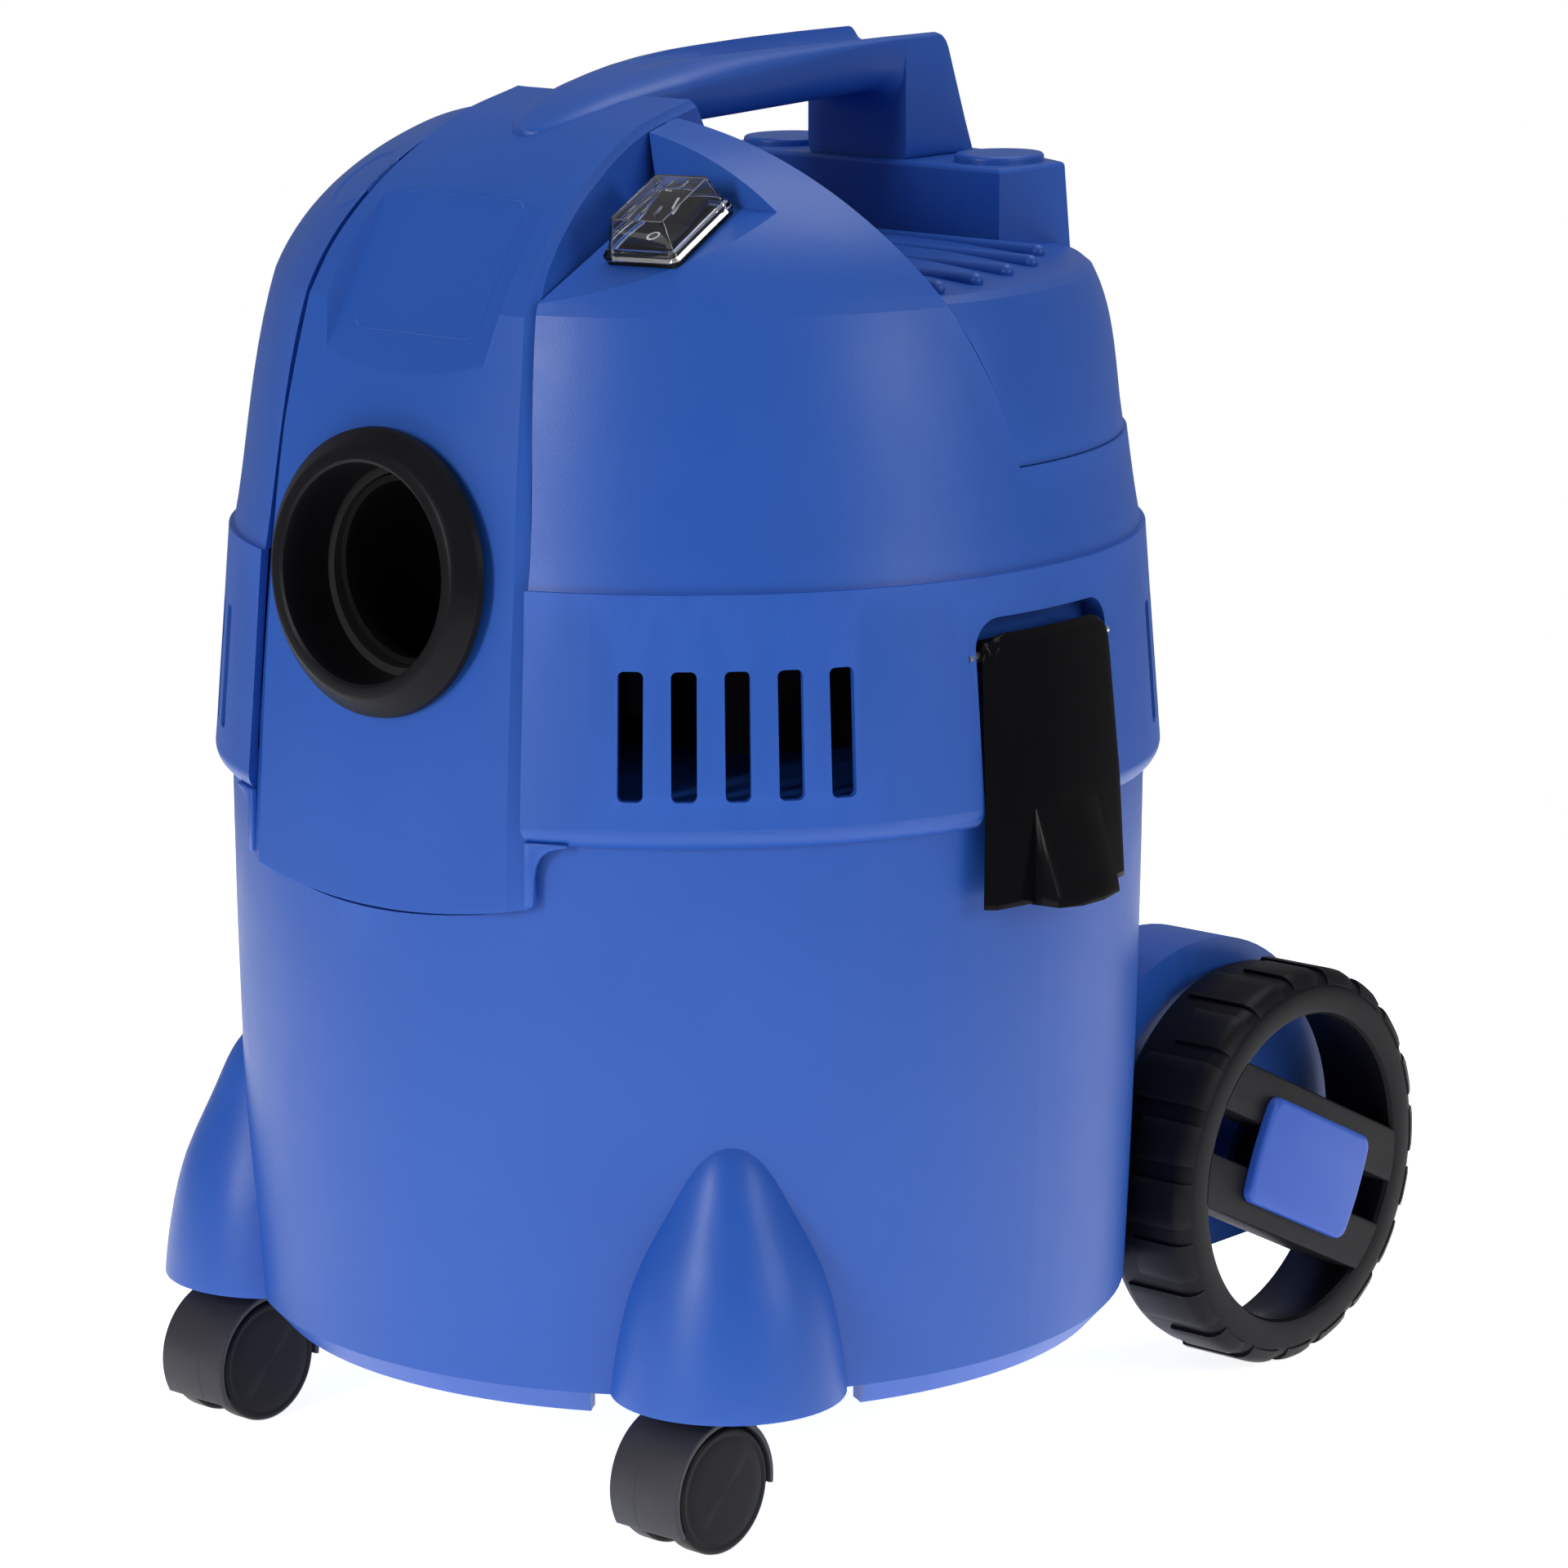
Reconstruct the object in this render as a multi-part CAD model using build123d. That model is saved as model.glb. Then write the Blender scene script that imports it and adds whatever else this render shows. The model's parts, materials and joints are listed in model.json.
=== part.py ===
from build123d import *
import os
from math import cos, pi, radians, sin

# Wet and dry shop vacuum, millimetres. +Z is up, the hose inlet faces -Y and the big wheels are at +Y.
# Everything is drawn about the tank's own axis, and save() moves it so that the origin is the point
# on the floor under the middle of the whole machine.

# ---- driving dimensions ----------------------------------------------------------------------
WALL = 2.8                      # moulded wall of the covers
GAP = 0.3                       # clearance between separate mouldings
FIT = 0.05                      # radial clearance of a running fit

TANK_BASE_R = 134.9             # tank wall at the bottom
TANK_RIM_R = 139.0              # tank wall at the rim
TANK_CREASE_Z = 43.2            # where the chamfer meets the wall
TANK_SKIRT_Z = 35.5             # lowest edge of the tank
TANK_RIM_Z = 213.0
TANK_WALL = 3.0

BELT_Z0 = 206.5                 # belt round the motor head
BELT_Z1 = 279.0
BELT_R0 = 144.0
BELT_R1 = 138.7
PLATE_Z = 216.5                 # floor plate of the motor head
PLATE_T = 3.0

CREASE_Z = 355.0                # where the head's wall turns over into the dome
DECK_LEDGE_Z = 307.5            # bottom of the rear recess

WHEEL_R = 63.8                  # over the tread lugs
WHEEL_Y = 152.8
WHEEL_OUT_X = 124.4             # outer face of a rear wheel
WHEEL_W = 32.0
WHEEL_HOLE_R = 49.1
BAR_TILT = 25.6                 # the wheel's two bars lean by this angle, degrees

CASTER_X = 93.7                 # swivel axis of a front caster
CASTER_Y = -88.2
CASTER_TRAIL = 16.0
CASTER_R = 19.0
CASTER_W = 26.0
CASTER_WEB = 9.0

INLET_Z = 279.5
INLET_TILT = 4.0
INLET_FACE_Y = -140.5
INLET_R = 31.6
ELBOW_R = 28.0                  # outside of the duct behind the inlet
ELBOW_Y = -87.5                 # vertical leg of that duct
ELBOW_Z = INLET_Z - 1.5         # its level leg meets the leaning inlet here
ELBOW_MOUTH_Y = -120.2          # mouth of that leg, behind the deepest reach of the hose

LATCH_PIN_X = 135.5
LATCH_PIN_Z = 256.0
LATCH_PIN_R = 1.6

MOTOR_Y = 10.0                  # motor axis, behind the tank's axis

INLET_LIP_R = 36.2
FRONT_Y = INLET_FACE_Y - INLET_LIP_R * sin(radians(INLET_TILT))
ORIGIN_SHIFT = -(WHEEL_Y + WHEEL_R + FRONT_Y) / 2


# ---- helpers ---------------------------------------------------------------------------------
def save(name, shape):
    """Write one node, moved into the machine's own frame."""
    solids = [solid.moved(Location((0, ORIGIN_SHIFT, 0))) for solid in shape.solids()]
    export_step(solids[0] if len(solids) == 1 else Compound(children=solids), f"parts/{name}.step")


def cyl_z(r, z0, z1, x=0.0, y=0.0):
    return Pos(x, y, (z0 + z1) / 2) * Cylinder(r, z1 - z0)


def cyl_x(r, x0, x1, y=0.0, z=0.0):
    return Pos((x0 + x1) / 2, y, z) * Rot(0, 90, 0) * Cylinder(r, abs(x1 - x0))


def cyl_y(r, y0, y1, x=0.0, z=0.0):
    return Pos(x, (y0 + y1) / 2, z) * Rot(90, 0, 0) * Cylinder(r, abs(y1 - y0))


def ring_z(r_out, r_in, z0, z1, x=0.0, y=0.0):
    return cyl_z(r_out, z0, z1, x, y) - cyl_z(r_in, z0 - 1, z1 + 1, x, y)


def block(x0, x1, y0, y1, z0, z1):
    return Pos((x0 + x1) / 2, (y0 + y1) / 2, (z0 + z1) / 2) * Box(x1 - x0, y1 - y0, z1 - z0)


def revolve_z(edges, y=0.0):
    """Revolve a closed outline given as edges in (radius, height) about a vertical axis."""
    face = make_face(Plane.XZ * edges)
    return Pos(0, y, 0) * revolve(face, Axis.Z)


def mirrored(shape):
    return mirror(shape, about=Plane.YZ)


def around(shape, angle):
    return Rot(0, 0, angle) * shape


# ---- shared outlines -------------------------------------------------------------------------
def tank_body(inset, z0, z1):
    """Solid of revolution inside the tank's tapering wall."""
    low, mid, top = (TANK_BASE_R - inset, z0), (138.0 - inset, 132.0), (TANK_RIM_R - inset, z1)
    wall = ThreePointArc(low, mid, top)
    rest = Polyline(top, (0, z1), (0, z0), low)
    return revolve_z(Curve() + [wall, rest])


HEAD_WALL = [(137.2, BELT_Z1), (135.3, 289.5), (132.0, 313.0), (127.9, 337.5), (123.5, CREASE_Z)]
HEAD_DOME = [(123.5, CREASE_Z), (108.8, 377.0), (94.5, 388.9), (73.2, 400.0), (40.0, 408.0), (0.0, 411.0)]


def head_body(inset, z0=BELT_Z1, wall_drop=0.0):
    """Solid inside the head's wall and dome; wall_drop pulls in the side wall only."""
    scale = 1 - inset / 260
    wall = [(r - inset - wall_drop, z) for r, z in HEAD_WALL]
    wall[0] = (wall[0][0], z0)
    dome = [(r * scale - inset * r / 123.5 * 0.55, z - inset * 0.9) for r, z in HEAD_DOME]
    dome[0] = wall[-1] = (wall[-1][0], CREASE_Z - inset * 0.4)
    side = Spline(wall)
    top = Spline(dome)
    rest = Polyline(dome[-1], (0, z0), wall[0])
    return revolve_z(Curve() + [side, top, rest])


BAND_AXIS_Y = 150.0             # the front band is a slice of a much flatter drum about this axis
BAND_LINE = [(289.0, 176.0), (286.3, 227.5), (281.9, 279.5), (277.6, 317.5), (269.9, 354.5)]
BAND_TOP = [(269.9, 354.5), (262.3, 367.5), (247.9, 382.5), (233.7, 392.5), (215.0, 402.5), (190.0, 409.5)]
BAND_REAR_Y = -39.0
BAND_FOOT_Z = 188.0             # lower corners of the band; its lower edge sags between them
BAND_SAG = 6.0


def band_drum(inset):
    wall = [(r - inset, z) for r, z in BAND_LINE]
    top = [(r - inset * 0.5, z - inset * 0.85) for r, z in BAND_TOP]
    top[0] = wall[-1]
    rest = Polyline(top[-1], (120, top[-1][1]), (120, wall[0][1]), wall[0])
    return revolve_z(Curve() + [Spline(wall), Spline(top), rest], BAND_AXIS_Y)


BAND_HALF = [(56.2, BAND_FOOT_Z), (53.6, 250.0), (52.4, 284.0), (49.6, 320.0), (45.6, 354.0),
             (41.0, 380.0), (37.6, 397.0), (36.0, 415.0)]


def band_outline(grow, z_low, sag):
    """Prism seen from the front: the band's outline, its lower edge bowed by sag."""
    side = [(x + grow, z) for x, z in BAND_HALF]
    half, corner_z = side[0]
    edges = [Spline(side), Spline([(-x, z) for x, z in side])]
    edges.append(Line(side[-1], (-side[-1][0], side[-1][1])))
    edges.append(ThreePointArc((-half, z_low), (0, z_low - sag), (half, z_low)))
    if z_low < corner_z:
        edges.append(Line((half, z_low), (half, corner_z)))
        edges.append(Line((-half, z_low), (-half, corner_z)))
    face = make_face(Plane.XZ * (Curve() + edges))
    return Pos(0, -95, 0) * extrude(face, 76, both=True)


def panel_room(depth):
    """Shallow recess in the tank's front that clears the lower end of the front panel."""
    return band_outline(2 * GAP, BAND_FOOT_Z - 2 * GAP, BAND_SAG) - band_drum(WALL + GAP + depth)


WING_EDGE = [(-47.5, 416.0), (-44.0, 403.0), (-34.8, 377.5), (-17.0, 341.5), (-5.0, DECK_LEDGE_Z)]


def behind_wing(shift, z0):
    """Everything behind the front dome's rear edge and above z0."""
    edge = [(y + shift, z) for y, z in WING_EDGE]
    edge[-1] = (edge[-1][0], z0)
    front = Spline(edge)
    rest = Polyline(edge[-1], (200, z0), (200, 416), edge[0])
    face = make_face(Plane.YZ * (Curve() + [front, rest]))
    return extrude(face, 160, both=True)


# ---- tank ------------------------------------------------------------------------------------
BUMP = [(34.5, 43.2), (32.2, 61.5), (27.0, 81.5), (18.0, 101.5), (9.5, 117.5), (0.0, 124.0)]
SOCKET_TOP = 72.0
SOCKET_R = 6.0


def bump(inset, drop=0.0):
    """Bullet-shaped housing over the right front caster."""
    curve = [(max(r - inset, 0.0), z - inset * 1.3 + drop) for r, z in BUMP]
    curve[0] = (curve[0][0], BUMP[0][1])
    rest = Polyline(curve[-1], (0, BUMP[0][1]), curve[0])
    return Pos(CASTER_X, CASTER_Y, 0) * revolve_z(Curve() + [Spline(curve), rest])


def wheel_arm_side(inset):
    """Side view of the arm that carries a rear wheel."""
    hub_to_top = 70.5 - inset
    disc = Pos(143, WHEEL_R) * Circle(hub_to_top)
    keep = Pos(160, 90) * Rectangle(130 - 2 * inset, 116 - 2 * inset)
    return Plane.YZ * (disc & keep)


ARM_X0, ARM_X1 = 62.0, 89.5
BOSS_R = 15.0
BOSS_X1 = 105.0
AXLE_R = 5.0
AXLE_X0, AXLE_X1 = 68.0, 115.5
WELL_R = 67.5                   # the tank is hollowed out beside the wheel
WELL_X = 90.0


def make_tank():
    skirt = revolve_z(Polyline((0, 44), (122, 44), (122, TANK_SKIRT_Z), (128, TANK_SKIRT_Z),
                               (TANK_BASE_R, TANK_CREASE_Z), (TANK_BASE_R, 50), (0, 50), (0, 44)))
    outer = tank_body(0, TANK_CREASE_Z, TANK_RIM_Z) - cyl_z(122, 30, 44) + skirt
    wells = cyl_x(WELL_R, WELL_X, 160, WHEEL_Y, WHEEL_R)
    outer -= wells + mirrored(wells)
    swing = cyl_z(40, 20, TANK_CREASE_Z, CASTER_X, CASTER_Y)
    outer -= swing + mirrored(swing)
    outer -= panel_room(0)

    cavity = tank_body(TANK_WALL, 47.5, TANK_RIM_Z + 1)
    behind_wells = cyl_x(WELL_R + TANK_WALL, WELL_X - TANK_WALL, 160, WHEEL_Y, WHEEL_R)
    tower = cyl_z(SOCKET_R + 6, 40, SOCKET_TOP + 4, CASTER_X, CASTER_Y)
    keep = behind_wells + tower
    cavity -= keep + mirrored(keep)
    cavity -= panel_room(TANK_WALL)

    arm = extrude(wheel_arm_side(0), ARM_X1 - ARM_X0)
    arm = Pos(ARM_X0, 0, 0) * arm + cyl_x(BOSS_R, ARM_X1 - 1, BOSS_X1, WHEEL_Y, WHEEL_R)
    hollow = Pos(ARM_X0 - 4, 0, 0) * extrude(wheel_arm_side(3), ARM_X1 - ARM_X0 + 1)
    hollow -= cyl_x(BOSS_R, ARM_X0 - 6, ARM_X1 + 1, WHEEL_Y, WHEEL_R)
    arm = arm - (hollow - tank_body(0, TANK_CREASE_Z, TANK_RIM_Z))
    arm -= cyl_x(AXLE_R, AXLE_X0, BOSS_X1 + 1, WHEEL_Y, WHEEL_R)

    shoe = bump(0)
    under_shoe = bump(3) - cyl_z(SOCKET_R + 6, 30, 140, CASTER_X, CASTER_Y)
    under_shoe -= tank_body(0, TANK_CREASE_Z - 10, TANK_RIM_Z)
    socket_hole = cyl_z(SOCKET_R, 30, SOCKET_TOP, CASTER_X, CASTER_Y)
    side = arm + (shoe - under_shoe)
    tank = outer + side + mirrored(side) - cavity
    tank -= socket_hole + mirrored(socket_hole)

    catch = block(136.5, 142.6, -15, 15, 190, 194.5)
    tank += catch + mirrored(catch)
    return tank


# ---- motor head housings ---------------------------------------------------------------------
SLOT_AZIMUTHS = [35.2 + 6.15 * i for i in range(5)]
SLOT_W = 7.3
SLOT_Z0, SLOT_Z1 = 220.5, 257.5
WINDOW_HALF = 30.0
WINDOW_TOP = 267.0
POCKET_X = 129.0
AIR_HOLE_R = 20.0               # the float closes this hole in the floor plate
SCREW_ANGLES = (10, 90, 170, 225, 315)
SCREW_RING_R = 69.5
SCREW_R = 1.8


def belt_wall(inset):
    """Side of the belt, moved in by inset, as an arc in (radius, height)."""
    return ThreePointArc((BELT_R0 - inset, BELT_Z0 + 6), (141.1 - inset, 248), (BELT_R1 - inset, BELT_Z1))


def belt_core(inset):
    wall = belt_wall(inset)
    return revolve_z(Curve() + [wall, Polyline(wall @ 1, (0, BELT_Z1), (0, BELT_Z0 + 6), wall @ 0)])


def make_belt():
    rim_r = 140.0
    lip = ThreePointArc((rim_r, BELT_Z0), (142.6, BELT_Z0 + 1.9), (BELT_R0, BELT_Z0 + 6))
    under = Polyline((0, BELT_Z1), (0, PLATE_Z), (rim_r, PLATE_Z), (rim_r, BELT_Z0))
    belt = revolve_z(Curve() + [lip, belt_wall(0), Line((BELT_R1, BELT_Z1), (0, BELT_Z1)), under])
    room = belt_core(WALL) + cyl_z(BELT_R1 - WALL - 0.01, BELT_Z1 - 1, BELT_Z1 + 5)
    belt -= room - cyl_z(150, BELT_Z0, PLATE_Z + PLATE_T)

    pocket_wall = block(POCKET_X - 2.5, 140, -WINDOW_HALF - 3, WINDOW_HALF + 3, PLATE_Z, WINDOW_TOP + 3)
    pocket_wall &= belt_core(1)
    window = block(POCKET_X, 160, -WINDOW_HALF, WINDOW_HALF, BELT_Z0 - 5, WINDOW_TOP)
    top_edges = window.edges().filter_by(Axis.X).group_by(Axis.Z)[-1]
    window = fillet(top_edges, 9)
    window -= cyl_z(140.2, BELT_Z0 - 6, PLATE_Z)
    pin_hole = cyl_y(LATCH_PIN_R, -WINDOW_HALF - 2.5, WINDOW_HALF + 2.5, LATCH_PIN_X, LATCH_PIN_Z)
    belt += pocket_wall + mirrored(pocket_wall)
    belt -= window + mirrored(window)
    belt -= pin_hole + mirrored(pin_hole)

    for side in (1, -1):
        for azimuth in SLOT_AZIMUTHS + [180 - a for a in SLOT_AZIMUTHS]:
            slot = block(-SLOT_W / 2, SLOT_W / 2, -150, -130, SLOT_Z0, SLOT_Z1)
            slot = fillet(slot.edges().filter_by(Axis.Y), 1.8)
            belt -= around(slot, side * azimuth)

    belt -= band_outline(GAP, 170, 6) - cyl_z(133.6, PLATE_Z, PLATE_Z + PLATE_T)
    belt -= cyl_z(AIR_HOLE_R, PLATE_Z - 1, PLATE_Z + 5, 0, MOTOR_Y)
    for angle in SCREW_ANGLES:
        belt -= on_motor(around(cyl_z(2.2, PLATE_Z - 1, PLATE_Z + 5, SCREW_RING_R), angle))
    belt -= cyl_z(ELBOW_R + 0.3, PLATE_Z - 1, PLATE_Z + 5, 0, ELBOW_Y)
    return belt


FLOOR_TILT = (24.5, 2.0, 7.0)   # the switch sits on a sloping floor let into the dome
SWITCH_AT = (62.0, -76.0, 374.6)
switch_frame = Location(SWITCH_AT) * Location((0, 0, 0), FLOOR_TILT)
ALCOVE_BACK_Y = -57.5
ALCOVE_DEPTH = 24.0             # the band's side wall reaches this far down into the alcove
ALCOVE_LEFT_X = 36.0            # under the front band, whose side wall closes the alcove


def alcove(grow, left):
    """Space cut into the dome for the switch."""
    room = switch_frame * Pos(0, 0, 50 - grow) * Box(150, 150, 100)
    return room & block(left - grow, 130, -140, ALCOVE_BACK_Y + grow, 340, 420)


def make_dome():
    outer = head_body(0) - behind_wing(0, DECK_LEDGE_Z)
    high = block(-160, 160, -160, 200, CREASE_Z, 420)
    inner = head_body(WALL)
    inner -= behind_wing(-WALL, DECK_LEDGE_Z - WALL) & high
    inner += cyl_z(134.4, BELT_Z1 - 1, BELT_Z1 + 0.5)
    dome = outer - inner
    recess = alcove(0, ALCOVE_LEFT_X)
    floor = (alcove(WALL, ALCOVE_LEFT_X) - recess) & outer
    dome = dome - recess + floor
    body = switch_frame * Pos(0, 0, -6) * Box(21.2, 28.4, 20)
    dome -= body + gland_at(cyl_z(7, -8, 8))
    under_band = band_drum(WALL + GAP) & block(-60, 60, WING_EDGE[0][0] - 2, 40, 300, 420)
    dome -= band_outline(GAP, 170, 6) - block(-60, 60, BAND_REAR_Y + GAP, 40, 300, 420) - under_band
    return dome


inlet_place = Location((0, INLET_FACE_Y, INLET_Z)) * Location((0, 0, 0), (90 - INLET_TILT, 0, 0))


FIELD_HALF = 31.0               # flat recessed field in the band, for a rating label
FIELD_LOW = (-122.0, 339.0)
FIELD_HIGH = (-91.0, 391.0)


def label_field(grow):
    """Space in front of the recessed field's flat floor."""
    run = Vector(0, FIELD_HIGH[0] - FIELD_LOW[0], FIELD_HIGH[1] - FIELD_LOW[1])
    outward = Vector(0, -run.Z, run.Y).normalized()
    middle = Vector(0, FIELD_LOW[0] + run.Y / 2, FIELD_LOW[1] + run.Z / 2)
    floor = Plane(origin=middle - outward * grow, x_dir=(1, 0, 0), z_dir=outward)
    return floor * Pos(0, 0, 20) * Box(2 * (FIELD_HALF + grow), 90, 40)


def make_front_panel():
    panel = (band_drum(0) - band_drum(WALL)) & band_outline(0, BAND_FOOT_Z, BAND_SAG)
    backing = (label_field(WALL) - label_field(0)) & band_drum(0)
    panel = panel - label_field(0) + backing
    alcove_wall = band_outline(0, 170, BAND_SAG) - band_outline(-WALL, 165, BAND_SAG)
    alcove_wall &= band_drum(1) - Pos(0, ALCOVE_DEPTH / 2, -ALCOVE_DEPTH) * band_drum(0)
    alcove_wall &= block(30, 60, -140, -48, 352, 420)
    panel += alcove_wall
    panel -= block(-60, 60, BAND_REAR_Y, 60, 300, 420)
    collar = inlet_place * cyl_z(42.3, -22, -8.1) - band_drum(WALL)
    seat = inlet_place * cyl_z(34.4, -40, 30)
    return panel + collar - seat


# ---- rear deck and carry handle --------------------------------------------------------------
DECK_Z = 357.5                  # edge of the platform behind the dome
DECK_WALL = [(132.0, DECK_LEDGE_Z - 1), (129.9, 322.0), (125.2, 348.0), (122.0, DECK_Z - 2)]
BLOCK_TOP = 382.0
BLOCK_HALF = 60.0
BLOCK_Y = 75.0
HANDLE_HALF = 19.8
HANDLE_UNDER = 402.2            # underside of the grip beside its leg
LEG_Y = 79.0
RIB_ROWS = [(-19, 113), (2, 110), (23.5, 104), (45, 96), (66, 82)]


def deck_outline(inset):
    wall = [(r - inset, z) for r, z in DECK_WALL]
    shoulder = [wall[-1], (119.5 - inset, DECK_Z), (80, DECK_Z + 3), (0, DECK_Z + 5)]
    core = Polyline(shoulder[-1], (0, wall[0][1]), wall[0])
    return revolve_z(Curve() + [Spline(wall), Polyline(shoulder), core])


def make_rear_deck():
    lid = deck_outline(0) & behind_wing(GAP, DECK_LEDGE_Z + GAP)
    inner = Pos(0, 0, -WALL) * deck_outline(WALL)
    lid -= inner & block(-160, 160, -160, 200, 300, 420)
    cone = revolve_z(Polyline((0, 340), (127, 340), (122.5, BLOCK_TOP), (0, BLOCK_TOP), (0, 340)))
    riser = block(-BLOCK_HALF, BLOCK_HALF, BLOCK_Y, 140, 345, BLOCK_TOP) & cone
    riser = fillet(riser.edges().group_by(Axis.Z)[-1], 1.5)
    riser -= (block(-BLOCK_HALF + WALL, BLOCK_HALF - WALL, BLOCK_Y + WALL, 117, 340, BLOCK_TOP - WALL))
    deck = lid - block(-BLOCK_HALF + WALL, BLOCK_HALF - WALL, BLOCK_Y + WALL, 117, 340, 370)
    deck += riser - inner
    for y, x_end in RIB_ROWS:
        z = DECK_Z + (5 if x_end < 80 else 3) * (1 - x_end / 240)
        rib = cyl_x(2.4, 18, x_end, y, z) + Pos(x_end, y, z) * Sphere(2.4)
        deck += rib + mirrored(rib)
    pad = Pos(43, 96, BLOCK_TOP - 0.5) * extrude(Ellipse(13, 15), 3)
    pad = fillet(pad.edges().group_by(Axis.Z)[-1], 1.2)
    deck += pad + mirrored(pad)
    return deck


def handle_side():
    """Side view of the carry handle and its rear leg."""
    top = Spline((-78, 399), (-52, 407.2), (-20, 413.2), (30, 417.6), (96, 420))
    leg_top = (LEG_Y, HANDLE_UNDER - 8)
    rear = Polyline((96, 420), (99.5, 416.5), (112, BLOCK_TOP + 0.1), (LEG_Y, BLOCK_TOP + 0.1), leg_top)
    root = ThreePointArc(leg_top, (LEG_Y - 2.3, HANDLE_UNDER - 2.3), (LEG_Y - 8, HANDLE_UNDER))
    front = Polyline((LEG_Y - 8, HANDLE_UNDER), (-41.5, 397.8), (-41.5, 390), (-78, 390), (-78, 399))
    return make_face(Plane.YZ * (Curve() + [top, rear, root, front]))


def make_handle():
    bar = extrude(handle_side(), HANDLE_HALF, both=True)
    trough = cyl_y(33, -40, 130, 0, 415.5 + 33)
    bar -= trough
    bar -= band_drum(-0.1) & block(-60, 60, -140, BAND_REAR_Y, 300, 430)
    bar -= head_body(0) - behind_wing(0, DECK_LEDGE_Z)
    return bar.solids().sort_by(SortBy.VOLUME)[-1]


# ---- hose inlet ------------------------------------------------------------------------------
SEAL_R = 33.0                   # seat of the seal, behind the bore that takes the hose


def make_inlet_ring():
    profile = Polyline((INLET_R, -1.2), (INLET_R + 1.2, 0), (INLET_LIP_R, 0), (37.6, -1.2), (41.5, -5.0),
                       (41.9, -7.8), (34.0, -7.8), (34.0, -24), (SEAL_R, -24), (SEAL_R, -18),
                       (INLET_R - 0.8, -18), (INLET_R - 0.8, -6), (INLET_R, -1.2))
    return inlet_place * revolve(make_face(Plane.XZ * profile), Axis.Z)


def make_inlet_seal():
    return inlet_place * ring_z(SEAL_R, ELBOW_R + 0.4, -24, -18)


def elbow_run(r):
    """Duct of radius r: in from the front, a quarter bend, then straight down through the plate."""
    bend = 30.0
    start = Plane(origin=(0, ELBOW_Y - bend, ELBOW_Z), x_dir=(1, 0, 0), z_dir=(0, 1, 0)) * Circle(r)
    turn = revolve(start, Axis((0, ELBOW_Y - bend, ELBOW_Z - bend), (-1, 0, 0)), 90)
    turn += cyl_y(r, ELBOW_MOUTH_Y, ELBOW_Y - bend + 0.01, 0, ELBOW_Z)
    return turn + cyl_z(r, 209, ELBOW_Z - bend + 0.01, 0, ELBOW_Y)


def make_elbow():
    flange = ring_z(ELBOW_R + 3.5, ELBOW_R - 1, PLATE_Z + PLATE_T, PLATE_Z + PLATE_T + 2, 0, ELBOW_Y)
    return elbow_run(ELBOW_R) + flange - elbow_run(ELBOW_R - 2)


# ---- latches ---------------------------------------------------------------------------------
LATCH_HALF = 28.0
LATCH_FOOT_HALF = 32.0
LATCH_FOOT_Z = 183.5
LATCH_TOP_Z = 262.5


def make_latch():
    """Right-hand latch: a plate curved round the tank, hung from a pin, with a finger wedge at its foot."""
    section = make_face(Plane.XZ * Polyline(
        (139.5, LATCH_TOP_Z), (142.9, 262.0), (147.3, 215), (148.7, LATCH_FOOT_Z), (146.2, LATCH_FOOT_Z),
        (144.9, 213), (141.2, 250), (139.0, 250), (139.5, LATCH_TOP_Z)))
    plate = Rot(0, 0, -20) * revolve(section, Axis.Z, 40)
    outline = make_face(Polyline(
        (-LATCH_FOOT_HALF, LATCH_FOOT_Z), (LATCH_FOOT_HALF, LATCH_FOOT_Z), (LATCH_HALF, LATCH_TOP_Z),
        (-LATCH_HALF, LATCH_TOP_Z), (-LATCH_FOOT_HALF, LATCH_FOOT_Z)))
    outline = fillet(outline.vertices().sort_by(Axis.Y)[-2:], 8)
    latch = plate & extrude(Plane.YZ * outline, 200)
    arm = make_face(Plane.XZ * Polyline((134, 261), (139, 261), (139.4, 249), (134, 251), (134, 261)))
    latch += extrude(arm, LATCH_HALF - 3, both=True)
    latch += cyl_y(5, -LATCH_HALF, LATCH_HALF, LATCH_PIN_X, LATCH_PIN_Z)
    wedge = make_face(Plane.XZ * Polyline(
        (146.6, 211), (157.2, 186), (154.8, 182.8), (146.9, 182.8), (146.6, 211)))
    latch += extrude(wedge, 14.3, both=True)
    toe = block(142.9, 147.4, -12, 12, 184, 187.5)
    latch += toe
    latch -= cyl_y(LATCH_PIN_R + FIT, -40, 40, LATCH_PIN_X, LATCH_PIN_Z)
    return latch


def make_latch_pin():
    return cyl_y(LATCH_PIN_R, -WINDOW_HALF - 2.2, WINDOW_HALF + 2.2, LATCH_PIN_X, LATCH_PIN_Z)


# ---- switch ----------------------------------------------------------------------------------
ROCKER_PIVOT_Z = 1.0
ROCKER_TILT = 7.0


def make_switch_body():
    bezel = Pos(0, 0, 0.9) * Box(24.4, 32.4, 1.4)
    case = Pos(0, 0, -8.4) * Box(20.6, 27.8, 17.4)
    pocket = Pos(0, 0, 0) * Box(17.4, 25.0, 14)
    return switch_frame * (bezel + case - pocket)


def make_terminals():
    return group([switch_frame * Pos(x, y, -20.2) * Box(6.3, 0.8, 6.2) for x in (-4.5, 4.5) for y in (-9, 9)])


def make_rocker():
    side = Plane.YZ * Polyline((-11.6, 5.6), (0, 3.6), (11.6, 5.6), (11.8, 1.0), (6, -4.5), (-6, -4.5),
                               (-11.8, 1.0), (-11.6, 5.6))
    rocker = extrude(make_face(side), 8.2, both=True)
    rocker += cyl_x(1.4, -8.65, 8.65, 0, ROCKER_PIVOT_Z)
    lean = Pos(0, 0, ROCKER_PIVOT_Z) * Rot(ROCKER_TILT, 0, 0) * Pos(0, 0, -ROCKER_PIVOT_Z)
    return switch_frame * lean * rocker


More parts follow.
